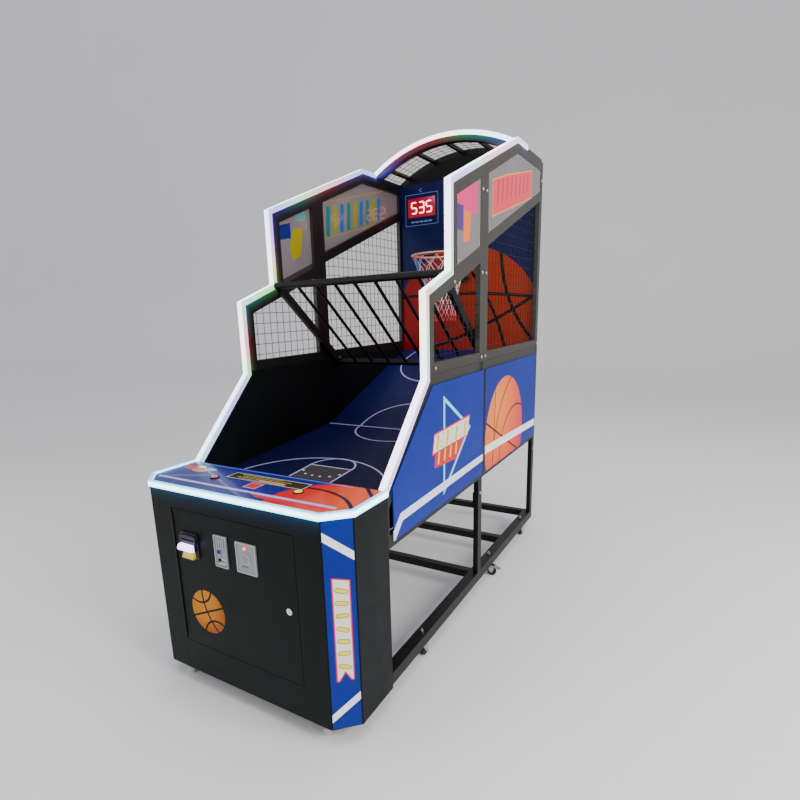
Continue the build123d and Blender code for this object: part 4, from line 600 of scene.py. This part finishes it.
triangle = polygon(point, [(0.800, 1.131), (0.794, 0.690), (1.113, 0.940)])
front_board = paint(plain, rgb(130, 226, 255), outline(triangle + 0.009, 0.016))
badge = polygon(point, [(0.693, 0.904), (1.068, 0.907), (1.094, 0.990), (0.712, 0.978)])
lower = polygon(point, [(0.711, 0.842), (0.937, 0.828), (1.027, 0.905), (0.715, 0.905)])
front_board = paint(front_board, rgb(216, 14, 56), (badge - 0.007) & (lower - 0.004))
front_board = paint(front_board, rgb(236, 232, 206), badge)
front_board = bars(front_board, point, [(0.735 + index * 0.050, 0.922) for index in range(7)],
                   (0.012, 0.042), 0.015, 0.003, rgb(60, 62, 78),
                   [rgb(246, 206, 30), rgb(250, 250, 250)])
front_board = bars(front_board, point, [(0.745 + index * 0.062, 0.853) for index in range(4)],
                   (0.010, 0.041), 0.020, 0.004, rgb(50, 14, 24), [rgb(252, 190, 20)])
kink = (0.411, 0.730)
band = stroke(point, kink, (1.40, 0.745), 0.035) & stroke(point, kink, (0.345, 0.668), 0.035)
front_board = paint(front_board, rgb(226, 238, 255), band)
ground = mix(mask(module_seam - along), front_board, rear_board)
connect(shader, Base_Color=ground, Roughness=0.42 + noise(place, 25.0) * 0.12,
        Normal=bump(noise(place, 300.0), 0.12, 0.0001))
dress(made, "side_panels_left", "side_panels_right")
print("side panels dressed")

# %% [markdown]
# ## Ball run
# The ramp is printed as a court: deep navy, with painted shade darkening it towards the front, and pale
# lines for the arc, the key, the half-way line on the crease and the centre circle. Two boards share one
# drawing, so the lines meet.

# %% Court
made, shader, place = finish("court_print", Specular_IOR_Level=0.25)
x, y, z = axes(place)
along = y - front
point = flat(x, along)
# Painted shade: the navy is darker towards the front, under the deck's edge. Towards the right wall it
# shifts to a dark purple.
ground = mix(span(along, 0.3, 2.0), rgb(6, 9, 38), rgb(9, 20, 84))
ground = mix(span(x, 0.0, 0.46) * 0.5, ground, rgb(24, 12, 50))
ground = mix(noise(place, 9.0) * 0.3, ground, rgb(12, 18, 70))
key, half_line = rectangle(point, (-0.113, 0.28), (0.110, 0.65)), 0.0045
ground = paint(ground, rgb(66, 60, 64), key)
half_circle = (abs(to_centre(point, (0.0, 0.65)) - 0.112) - half_line) | (0.65 - along)
court_lines = outline(key, 0.009) & half_circle
for hub, size in (((-0.005, 0.36), 0.398), ((0.0, 1.31), 0.245), ((-0.08, 2.10), 0.289)):
    court_lines = court_lines & (abs(to_centre(point, hub) - size) - half_line)
crease = 1.286
court_lines = court_lines & (abs(along - crease) - 0.006)
ground = paint(ground, rgb(176, 172, 214), court_lines)
for dot in ((-0.098, 0.574), (-0.063, 0.542), (-0.02, 0.534), (0.022, 0.534), (0.066, 0.547),
            (0.095, 0.581)):
    ground = paint(ground, rgb(226, 222, 230), to_centre(point, dot) - 0.006)
connect(shader, Base_Color=ground, Roughness=0.38 + noise(place, 20.0) * 0.18,
        Normal=bump(noise(place, 240.0), 0.15, 0.0001))
dress(made, "ramp_front", "ramp_rear")

# %% [markdown]
# ## Backboard
# Behind the hoop a navy board carries a basketball nearly as wide as the machine, with black seams,
# and a thin pale frame round each number window. The words under the windows are left out. The
# board is printed on its front face only.

# %% Backboard print
board_low, board_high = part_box("backboard")
made, shader, place = finish("backboard_print", Specular_IOR_Level=0.2)
x, y, z = axes(place)
point = flat(x, z)
ground = mix(noise(place, 5.0), rgb(7, 16, 58), rgb(12, 27, 88))
hub, size = (0.0, 1.36), 0.52
skin = mix(span(x + (z - hub[1]) * 0.5, -0.25, 0.3), rgb(136, 10, 20), rgb(168, 50, 14))
skin = mix(span(noise(point, 104.0, 1.0), 0.35, 0.8) * 0.18, skin, rgb(104, 8, 16))
lines = (arc(point, (0.254, 1.799), (0.288, 1.587), (0.443, 1.296))
         & arc(point, (0.04, 1.731), (0.167, 1.535), (0.28, 1.239))
         & arc(point, (-0.177, 1.241), (0.17, 1.382), (0.45, 1.536))
         & arc(point, (-0.477, 1.573), (-0.2, 1.583), (0.1, 1.575)))
skin = paint(skin, rgb(8, 5, 8), lines - 0.010)
ground = mix(mask(to_centre(point, hub) - size), ground, skin)
display_low, display_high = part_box("display_windows")
window_width = 0.2
pitch = (display_high.x - display_low.x - window_width) / 2
pale = rgb(120, 140, 205)
for index in range(3):
    hub_x = display_low.x + window_width / 2 + pitch * index
    border = rectangle(point, (hub_x - 0.119, 2.044), (hub_x + 0.119, 2.240))
    ground = paint(ground, pale, outline(border, 0.0035))
    for dash in range(5):
        start = hub_x - 0.075 + dash * 0.032
        ground = paint(ground, pale, stroke(point, (start, 2.066), (start + 0.018, 2.066), 0.010))
tip = (-0.318, 2.262)
ground = paint(ground, pale, stroke(point, tip, (-0.302, 2.272), 0.004)
               & stroke(point, tip, (-0.302, 2.252), 0.004))
top_edge = 2.3027
ground = mix(mask(top_edge - z), ground, rgb(14, 16, 18))
printed = mask(y - (board_low.y + 0.001), 0.0004)
ground = mix(printed, mix(noise(place, 6.0), rgb(20, 22, 26), rgb(30, 32, 36)), ground)
connect(shader, Base_Color=ground, Roughness=0.42 + noise(place, 22.0) * 0.14)
dress(made, "backboard")
print("court and backboard dressed")

# %% [markdown]
# ## Printed light panels
# The upper openings hold translucent printed acrylic. Each has its own blocks of colour, and the
# left and right walls differ, so the drawing reads which side it is on from X.

# %% Light panel print
made, shader, place = finish("light_print", Coat_Weight=0.4, Coat_Roughness=0.05, Specular_IOR_Level=0.2,
                             Emission_Strength=0.08)
x, y, z = axes(place)
along = y - front
point = flat(along, z)
right_side = span(x, -0.01, 0.01)
ground = mix(noise(place, 3.0), rgb(104, 97, 99), rgb(126, 118, 119))
warm_side = cool_side = ground
for colour, corners in (
        (rgb(222, 30, 116), [(0.962, 1.885), (1.195, 1.885), (1.195, 2.02), (0.962, 1.965)]),
        (rgb(70, 44, 116), [(0.962, 1.80), (1.03, 1.80), (1.03, 1.90), (0.962, 1.90)]),
        (rgb(240, 112, 14), [(1.03, 1.755), (1.10, 1.765), (1.12, 1.885), (1.04, 1.885)])):
    warm_side = paint(warm_side, colour, polygon(point, corners))
salmon = polygon(point, [(1.40, 1.905), (2.05, 2.080), (2.05, 2.215), (1.62, 2.120), (1.40, 2.060)])
warm_side = paint(warm_side, rgb(232, 160, 30), salmon - 0.006)
warm_side = paint(warm_side, rgb(226, 52, 72), salmon)
for index in range(8):
    foot = 1.47 + index * 0.07
    rise = 0.26 * (foot - 1.40)
    bar = stroke(point, (foot, 1.955 + rise), (foot + 0.012, 2.06 + rise * 0.8), 0.014)
    warm_side = paint(warm_side, rgb(170, 20, 56), bar)
for colour, corners in (
        (rgb(6, 32, 104), [(0.975, 1.855), (1.065, 1.870), (1.065, 1.945), (0.975, 1.925)]),
        (rgb(150, 136, 4), [(1.07, 1.76), (1.14, 1.79), (1.17, 1.93), (1.09, 1.92), (1.05, 1.83)]),
        (rgb(84, 134, 140), [(1.11, 1.955), (1.20, 1.975), (1.20, 2.025), (1.11, 2.0)])):
    cool_side = paint(cool_side, colour, polygon(point, corners))
for index in range(9):
    foot = 1.40 + index * 0.072
    rise = 0.27 * (foot - 1.40)
    tint = (rgb(10, 110, 104), rgb(126, 136, 30), rgb(20, 96, 150))[index % 3]
    bar = stroke(point, (foot, 1.925 + rise), (foot + 0.012, 2.055 + rise * 0.8), 0.040)
    cool_side = paint(cool_side, tint, bar)
for height in (1.895, 2.085):
    rule = stroke(point, (1.37, height), (2.05, height + 0.165), 0.005)
    cool_side = paint(cool_side, rgb(150, 136, 10), rule)
picture = mix(right_side, cool_side, warm_side)
connect(shader, Base_Color=picture, Emission_Color=picture)
dress(made, "light_panels")

# %% [markdown]
# ## Light strips
# Each strip is a milky diffuser over coloured lamps: white where it faces out, tinted at its sides,
# with the tint changing along its length. The tint is a colour ramp over the way along the strip.
# Some light leaks behind the strip and colours the black tube next to it, so the same tint, fading
# over a few centimetres, is added to the frame's finish.


# %% Light strips
def tinted(way, stops):
    """The colour of a ramp at a way from 0 to 1."""
    return way.node("ValToRGB", {"stops": stops}, {0: way})


def facing(place, axis):
    """1 where a surface faces along an axis, either way, and 0 where it faces square to it."""
    normal = Wire(place.tree, place.socket.node.outputs["Normal"])
    return span(abs(axes(normal)[axis]), 0.6, 0.8)


def strip_finish(name, strength):
    """A new diffuser material with its shader and place."""
    return finish(name, Emission_Strength=strength, Roughness=0.4, Specular_IOR_Level=0.2)


strip_low, strip_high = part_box("cabinet_led")
made, shader, place = strip_finish("cabinet_glow", 5.0)
x, y, z = axes(place)
shimmer = noise(place, 14.0, 1.0)
middle = (strip_low.z + strip_high.z) / 2
core = 1.0 - span(abs(z - middle), 0.003, 0.012)
front_glow = mix(core, rgb(50, 190, 232), rgb(225, 250, 255))
top_glow = mix(shimmer, rgb(10, 92, 128), rgb(30, 128, 160))
connect(shader, Base_Color=mix(shimmer, rgb(150, 200, 215), rgb(180, 222, 235)),
        Emission_Color=mix(facing(place, 2), front_glow, top_glow))
dress(made, "cabinet_led")


def stops(*tints):
    """Ramp stops from a way and three screen values each."""
    return [(way, rgb(*tint)) for way, *tint in tints]


right_stops = stops((0.00, 190, 120, 255), (0.22, 210, 150, 255), (0.26, 60, 200, 255),
                    (0.30, 60, 230, 110), (0.335, 240, 220, 50), (0.375, 255, 50, 90),
                    (0.41, 80, 225, 230), (0.46, 80, 230, 140), (0.52, 190, 150, 255),
                    (0.62, 170, 120, 255), (0.66, 70, 110, 255), (0.74, 70, 230, 140),
                    (0.80, 255, 90, 150), (0.92, 220, 180, 255))
left_stops = stops((0.00, 100, 235, 255), (0.18, 170, 80, 255), (0.24, 70, 225, 120),
                   (0.30, 255, 50, 90), (0.37, 90, 225, 230), (0.43, 70, 230, 110),
                   (0.50, 220, 210, 80), (0.56, 140, 70, 255), (0.63, 70, 80, 255),
                   (0.70, 70, 225, 160), (0.78, 255, 60, 90), (0.92, 80, 90, 255))
arch_stops = stops((0.0, 90, 210, 255), (0.18, 255, 60, 190), (0.32, 255, 50, 90),
                   (0.47, 255, 70, 70), (0.60, 60, 225, 110), (0.78, 70, 200, 255),
                   (0.95, 70, 80, 255))


def wall_tint(place):
    """The tint along both side walls, from height and length together."""
    x, y, z = axes(place)
    way = (z - 0.84) * 0.42 + (y - (front + 0.3)) * 0.22
    return mix(span(x, -0.01, 0.01), tinted(way, left_stops), tinted(way, right_stops))


milky, shaded = (0.7, 0.7, 0.72, 1.0), (0.55, 0.55, 0.6, 1.0)
bright = (1.0, 1.0, 1.0, 1.0)
made, shader, place = strip_finish("wall_glow", 4.0)
tint = wall_tint(place)
face_glow = mix(noise(place, 30.0) * 0.15 + 0.55, tint, bright)
side_glow = mix(0.65 + noise(place, 30.0) * 0.1, tint, black)
connect(shader, Base_Color=mix(noise(place, 15.0) * 0.2, milky, shaded),
        Emission_Color=mix(facing(place, 0), face_glow, side_glow))
dress(made, "wall_leds")

made, shader, place = strip_finish("arch_glow", 4.0)
tint = tinted(span(axes(place)[0], -0.49, 0.49), arch_stops)
connect(shader, Base_Color=mix(noise(place, 15.0) * 0.2, milky, shaded),
        Emission_Color=mix(noise(place, 30.0) * 0.15 + 0.5, tint, bright))
dress(made, "arch_led")

# %% Frame finish with the spill of the strips and painted light on the outer faces
made, shader, place = finish("frame_black_with_painted_light", Specular_IOR_Level=0.3, Emission_Strength=0.32)
x, y, z = axes(place)
along = y - front
point = flat(along, z)
steps = [(0.300, 0.870), (0.645, 1.216), (0.645, 1.550), (0.883, 1.635), (0.883, 1.985),
         (1.768, 2.328), (1.93, 2.328)]
near = None
for start, end in zip(steps, steps[1:]):
    edge = stroke(point, start, end, 0.0)
    near = edge if near is None else near & edge
wall_middle, arch_radius = 0.4625, 0.840
inside = mask(abs(x) - wall_middle, 0.001)
spill = (1.0 - span(near, 0.012, 0.070)) * inside
arch_hub = (0.0, strip_high.z + 0.757)
arch_near = abs(to_centre(flat(x, z), arch_hub) - arch_radius)
arch_face = span(y, 0.70, 0.80) * mask(y - 0.8085, 0.001) * span(z, 2.24, 2.30)
arch_spill = (1.0 - span(arch_near, 0.010, 0.045)) * arch_face
# The outer faces, above 1.1 to 1.3 m, are painted a lighter grey: painted light and painted reflection
# on tube that is near black all round.
painted_light_outside = (1.0 - inside) * span(z, 1.1, 1.3)
grain = noise(place, 420.0, 2.0)
smear = noise(place, 23.0, 4.0)
skin = mix(painted_light_outside, mix(smear, rgb(12, 11, 12), rgb(24, 23, 23)),
           mix(smear, rgb(52, 50, 46), rgb(66, 64, 59)))
glow = mix(spill * spill, black, wall_tint(place))
glow = mix(arch_spill, glow, tinted(span(x, -0.49, 0.49), arch_stops))
connect(shader, Base_Color=skin, Emission_Color=glow, Roughness=0.38 + smear * 0.14,
        Normal=bump(grain, 0.35, 0.00012))
dress(made, "upper_frames", "lower_frames", "arch_frame")
print("light strips lit")

# %% [markdown]
# ## Number windows
# A number window is smoked red acrylic over lamp digits. Each digit has seven bars with pointed ends,
# and a bar is built as a thin six-sided plate just in front of the window.

# %% Number windows
made, shader, place = finish("display_red", Coat_Weight=0.8, Coat_Roughness=0.06, Emission_Strength=0.6)
cloud = noise(place, 8.0)
connect(shader, Base_Color=mix(cloud, rgb(120, 8, 36), rgb(150, 14, 44)), Roughness=0.2 + cloud * 0.06,
        Emission_Color=mix(cloud, rgb(150, 6, 34), rgb(190, 16, 50)))
dress(made, "display_windows")

BARS = {"a": (0.0, 1.0, 0), "b": (0.5, 0.5, 1), "c": (0.5, -0.5, 1), "d": (0.0, -1.0, 0),
        "e": (-0.5, -0.5, 1), "f": (-0.5, 0.5, 1), "g": (0.0, 0.0, 0)}
SHAPES = {"1": "bc", "2": "abged", "3": "abgcd", "4": "fgbc", "5": "afgcd", "8": "abcdefg"}


def new_piece(name, corners, faces, material, body="machine"):
    """A mesh piece from arrays of corners and faces, dressed and riding on a body."""
    mesh = bpy.data.meshes.new(name)
    mesh.from_pydata(np.asarray(corners, float).tolist(), [], [list(map(int, f)) for f in faces])
    mesh.validate()
    mesh.materials.append(material)
    made = bpy.data.objects.new(name, mesh)
    bpy.context.scene.collection.objects.link(made)
    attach(made, body)
    return made


def bar_plate(centre, upright, long_half, wide_half, thick):
    """A six-sided bar with pointed ends: corners of its face, pushed back by a thickness."""
    point_back = long_half - wide_half
    face = np.array([(-long_half, 0), (-point_back, -wide_half), (point_back, -wide_half),
                     (long_half, 0), (point_back, wide_half), (-point_back, wide_half)])
    if upright:
        face = face[:, ::-1] * (1, -1)
    ahead_face = np.column_stack([centre[0] + face[:, 0], np.full(6, centre[1]), centre[2] + face[:, 1]])
    behind = ahead_face + (0, thick, 0)
    return np.vstack([ahead_face, behind])


def bar_faces(first):
    """The two six-sided faces and six edges of one bar, from its first corner's number."""
    ring = np.arange(6)
    sides = [(first + i, first + (i + 1) % 6, first + 6 + (i + 1) % 6, first + 6 + i) for i in ring]
    return [tuple(first + ring), tuple(first + 6 + ring[::-1])] + [s[::-1] for s in sides]


digit_glow, shader, place = finish("digit_glow", Emission_Strength=9.0)
connect(shader, Base_Color=mix(noise(place, 30.0), rgb(255, 190, 190), rgb(255, 215, 210)),
        Emission_Color=mix(noise(place, 30.0), rgb(255, 96, 110), rgb(255, 130, 130)))
corners, faces = [], []
digit_half, digit_pitch = 0.034, 0.055
bar_offset, bar_half, bar_gap = 0.036, 0.018, 0.0012
digit_y, digit_z = display_low.y - 0.0011, (display_low.z + display_high.z) / 2
for index, number in enumerate(("535", "142", "282")):
    hub_x = display_low.x + window_width / 2 + pitch * index
    for place_index, figure in enumerate(number):
        digit_x = hub_x + (place_index - 1) * digit_pitch
        for name in SHAPES[figure]:
            u, v, upright = BARS[name]
            centre = (digit_x + u * bar_offset, digit_y, digit_z + v * digit_half)
            half_length = (digit_half / 2 if upright else bar_half) - bar_gap
            faces += bar_faces(12 * len(corners))
            corners.append(bar_plate(centre, upright, half_length, 0.0036, 0.001))
new_piece("display_digits", np.vstack(corners), faces, digit_glow)
print("digit bars", len(corners))

# %% [markdown]
# ## Hoop and net
# The rim is orange enamel. The net is the one soft thing here: twelve hooks hold cords that cross in
# diamonds, wide at the rim and gathered below. A cord is a small ring of points carried along a
# curved path, and each diamond's side sags a little between its knots.


# %% Swept cords
def sweep(paths, radius, sides):
    """Tubes along many paths at once. paths is (count, points, 3); a ring of corners at each point
    is radius * (cos a * normal + sin a * binormal), where the normal is square to the path."""
    count, steps, _ = paths.shape
    tangent = np.gradient(paths, axis=1)
    tangent /= np.linalg.norm(tangent, axis=2, keepdims=True)
    helper = np.where(np.abs(tangent[..., 2:3]) > 0.9, (1.0, 0.0, 0.0), (0.0, 0.0, 1.0))
    normal = np.cross(tangent, helper)
    normal /= np.linalg.norm(normal, axis=2, keepdims=True)
    binormal = np.cross(tangent, normal)
    angle = np.arange(sides) * 2 * math.pi / sides
    ring = np.cos(angle)[:, None] * normal[:, :, None] + np.sin(angle)[:, None] * binormal[:, :, None]
    corners = (paths[:, :, None] + radius * ring).reshape(-1, 3)
    start = np.arange(count)[:, None, None] * steps * sides
    row = start + np.arange(steps - 1)[None, :, None] * sides
    a = row + np.arange(sides)
    b = row + (np.arange(sides) + 1) % sides
    walls = np.stack([a, b, b + sides, a + sides], axis=-1).reshape(-1, 4)
    ends = []
    for index in range(count):
        first = index * steps * sides
        ends.append(tuple(first + np.arange(sides)[::-1]))
        ends.append(tuple(first + (steps - 1) * sides + np.arange(sides)))
    return corners, [tuple(f) for f in walls] + ends


rim_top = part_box("hoop_rim")[1].z
net_low, net_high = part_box("hoop_net")
hub_x, hub_y = (net_low.x + net_high.x) / 2, (net_low.y + net_high.y) / 2
hooks, rows = 12, 7
knot_z = np.linspace(net_high.z + 0.006, net_low.z + 0.004, rows + 1)
share = np.linspace(0.0, 1.0, rows + 1)
foot_radius, head_radius = 0.0815, 0.1705
knot_r = foot_radius + (head_radius - foot_radius) * (1 - share) ** 1.75
sway = 0.018 * share ** 2


def knot(row, place_on_ring):
    """A knot's place: height from its row, and an angle that moves half a step on each row."""
    angle = (place_on_ring + 0.5 * (row % 2)) * 2 * math.pi / hooks + math.radians(15)
    out = knot_r[row] * (1 + 0.02 * np.sin(3 * angle + row))
    return np.stack([hub_x + out * np.cos(angle), hub_y + out * np.sin(angle) + sway[row] * 0.4,
                     np.full_like(angle, knot_z[row])], axis=-1)


ring_places = np.arange(hooks, dtype=float)
step_share = np.linspace(0.0, 1.0, 7)[None, :, None]
cords = []
for row in range(rows):
    upper = knot(row, ring_places)
    shifts = (0.0, -1.0) if row % 2 == 0 else (0.0, 1.0)
    for shift in shifts:
        lower = knot(row + 1, ring_places + shift)
        path = upper[:, None] * (1 - step_share) + lower[:, None] * step_share
        sag = 0.0035 * np.sin(math.pi * step_share)
        path = path - sag * np.array([0.0, 0.0, 1.0])
        cords.append(path)
corners, faces = sweep(np.vstack(cords), 0.0021, 6)

made, shader, place = finish("net_cord", Roughness=0.85, Sheen_Weight=0.3)
x, y, z = axes(place)
twist = noise(place, 900.0, 1.0)
base = mix(noise(place, 60.0), rgb(226, 228, 232), rgb(246, 246, 248))
bluish = 1.0 - span(x, -0.12, 0.02)
low_down = 1.0 - span(z, net_low.z + 0.02, net_low.z + 0.14)
base = mix(bluish * 0.75, base, rgb(92, 120, 224))
base = mix(low_down, base, rgb(232, 52, 62))
connect(shader, Base_Color=base, Normal=bump(twist, 0.6, 0.0006))
net = new_piece("hoop_net_cords", corners, faces, made)
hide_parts("hoop_net")
print("net cords", len(np.vstack(cords)))


# %% Knots and rim
def beads(centres, radius, squash=0.8):
    """A small rounded bead at each centre: rings at latitudes t of radius sin t and height cos t."""
    lat, lon = np.linspace(0.0, math.pi, 6), np.arange(8) * math.pi / 4
    unit = np.stack([np.sin(lat)[:, None] * np.cos(lon), np.sin(lat)[:, None] * np.sin(lon),
                     squash * np.cos(lat)[:, None] * np.ones(8)], axis=-1)[1:-1].reshape(-1, 3)
    unit = np.vstack([unit, (0, 0, squash), (0, 0, -squash)])
    corners = (np.asarray(centres)[:, None] + radius * unit).reshape(-1, 3)
    i = np.arange(8)
    j = (i + 1) % 8
    first = (np.arange(len(centres)) * len(unit))[:, None, None]
    band = (np.arange(3) * 8)[:, None]
    walls = np.stack([band + i, band + 8 + i, band + 8 + j, band + j], axis=-1).reshape(-1, 4)
    caps = np.vstack([np.column_stack([np.full(8, 32), i, j]),
                      np.column_stack([np.full(8, 33), 24 + j, 24 + i])])
    return corners, (first + walls).reshape(-1, 4).tolist() + (first + caps).reshape(-1, 3).tolist()


knots = np.vstack([knot(row, ring_places) for row in range(1, rows + 1)])
corners, faces = beads(knots, 0.0042)
new_piece("hoop_net_knots", corners, faces, made)

made, shader, place = finish("rim_enamel", Coat_Weight=0.8, Coat_Roughness=0.08)
x, y, z = axes(place)
chips = span(noise(place, 120.0, 5.0), 0.68, 0.72)
# The top of the rim is painted near white: a painted highlight of the strips' light on the orange
# enamel.
painted_highlight_top = span(z, rim_top - 0.009, rim_top - 0.001)
base = mix(noise(place, 30.0) * 0.4, rgb(214, 84, 34), rgb(196, 64, 30))
base = mix(painted_highlight_top * 0.75, base, rgb(240, 226, 216))
base = mix(chips, base, rgb(90, 50, 40))
connect(shader, Base_Color=base, Roughness=0.3 + chips * 0.3 + noise(place, 50.0) * 0.1)
dress(made, "hoop_rim")

# %% [markdown]
# ## Wire mesh
# The side windows are closed with welded mesh, whose round wires the frame model already holds. The
# vault's mesh is bent over the ribs. Its frame piece is a flat-sided lattice, so round wires replace
# it: bows across the vault and straight runs along it, swept like the cords of the net.

# %% Side mesh
wire_radius = 0.0015
wire_black = coated("wire_black", rgb(16, 16, 18), rgb(40, 40, 42), 0.4, 1200.0, 0.00005)
dress(wire_black, "mesh_panels")

# %% Vault mesh
vault_low, vault_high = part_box("roof_mesh")
half_span, rise = (vault_high.x - vault_low.x) / 2, vault_high.z - vault_low.z
radius = (half_span ** 2 + rise ** 2) / (2 * rise)
middle_z = vault_high.z - radius
reach = math.asin(half_span / radius)
angles = np.linspace(-reach, reach, 33)
lengthways = np.linspace(vault_low.y + 0.012, vault_high.y - 0.012, 6)
bow_radius, run_radius = radius - wire_radius, radius - 0.004
bows = np.array([np.column_stack([bow_radius * np.sin(angles), np.full(33, y_at),
                                  middle_z + bow_radius * np.cos(angles)]) for y_at in lengthways])
corners, faces = sweep(bows, wire_radius, 6)
runs = []
for angle in np.linspace(-reach * 0.97, reach * 0.97, 19):
    runs.append(np.column_stack([np.full(4, run_radius * math.sin(angle)),
                                 np.linspace(vault_low.y, vault_high.y, 4),
                                 np.full(4, middle_z + run_radius * math.cos(angle))]))
more, more_faces = sweep(np.array(runs), wire_radius, 6)
faces = faces + [tuple(i + len(corners) for i in face) for face in more_faces]
wire_grey = coated("wire_grey", rgb(66, 66, 66), rgb(96, 96, 96), 0.4, 1200.0, 0.00005)
vault = new_piece("vault_mesh_wires", np.vstack([corners, more]), faces, wire_grey)
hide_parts("roof_mesh")

# %% [markdown]
# ## Studio
# A plain pale floor and backdrop, a large soft light from the right front, a weaker one from the
# left, and one above. The light strips add their own colour, so the room is kept a little dim.


# %% Studio
def studio_sheet():
    """Floor that curves up into a backdrop: a profile (distance, height) carried along X."""
    near_edge, bend_start, bend_radius, far = -14.0, 9.0, 3.0, 60.0
    angle = np.linspace(0.0, math.pi / 2, 25)
    bend = np.column_stack([bend_start + bend_radius * np.sin(angle),
                            bend_radius - bend_radius * np.cos(angle)])
    profile = np.vstack([(near_edge, 0.0), bend, (bend_start + bend_radius, far)])
    across_x = np.array([-far, far])
    corners = np.array([(px, py, pz) for px in across_x for py, pz in profile])
    n = len(profile)
    faces = [(i, i + n, i + n + 1, i + 1) for i in range(n - 1)]
    return corners, faces


floor_paint, shader, place = finish("floor_paint", Roughness=0.6)
connect(shader, Base_Color=mix(noise(place, 0.6), (0.86, 0.86, 0.86, 1.0), (0.9, 0.9, 0.9, 1.0)))
corners, faces = studio_sheet()
mesh = bpy.data.meshes.new("studio_floor")
mesh.from_pydata(corners.tolist(), [], faces)
mesh.materials.append(floor_paint)
floor = bpy.data.objects.new("studio_floor", mesh)
bpy.context.scene.collection.objects.link(floor)


def soft_light(name, place_at, aim, size, power):
    """A square area light at a place, turned to face an aim point."""
    lamp = bpy.data.lights.new(name, "AREA")
    lamp.size, lamp.energy = size, power
    made = bpy.data.objects.new(name, lamp)
    bpy.context.scene.collection.objects.link(made)
    away = np.array(place_at, float) - np.array(aim, float)
    away /= np.linalg.norm(away)
    side = np.cross((0.0, 0.0, 1.0), away)
    side /= np.linalg.norm(side)
    pose = np.eye(4)
    pose[:3, 0], pose[:3, 1], pose[:3, 2], pose[:3, 3] = side, np.cross(away, side), away, place_at
    made.matrix_world = Matrix(pose.tolist())
    return made


soft_light("key", (5.4, -0.9, 3.4), (0.0, 0.0, 1.1), 3.0, 300.0)
soft_light("fill", (-3.4, -4.5, 2.6), (0.0, 0.0, 1.0), 3.0, 60.0)
soft_light("overhead", (0.5, -0.5, 5.5), (0.0, 0.2, 0.0), 3.5, 90.0)
world = bpy.data.worlds.new("room")
world.use_nodes = True
sky = world.node_tree.nodes["Background"]
sky.inputs["Color"].default_value = (0.95, 0.96, 1.0, 1.0)
sky.inputs["Strength"].default_value = 0.75
bpy.context.scene.world = world
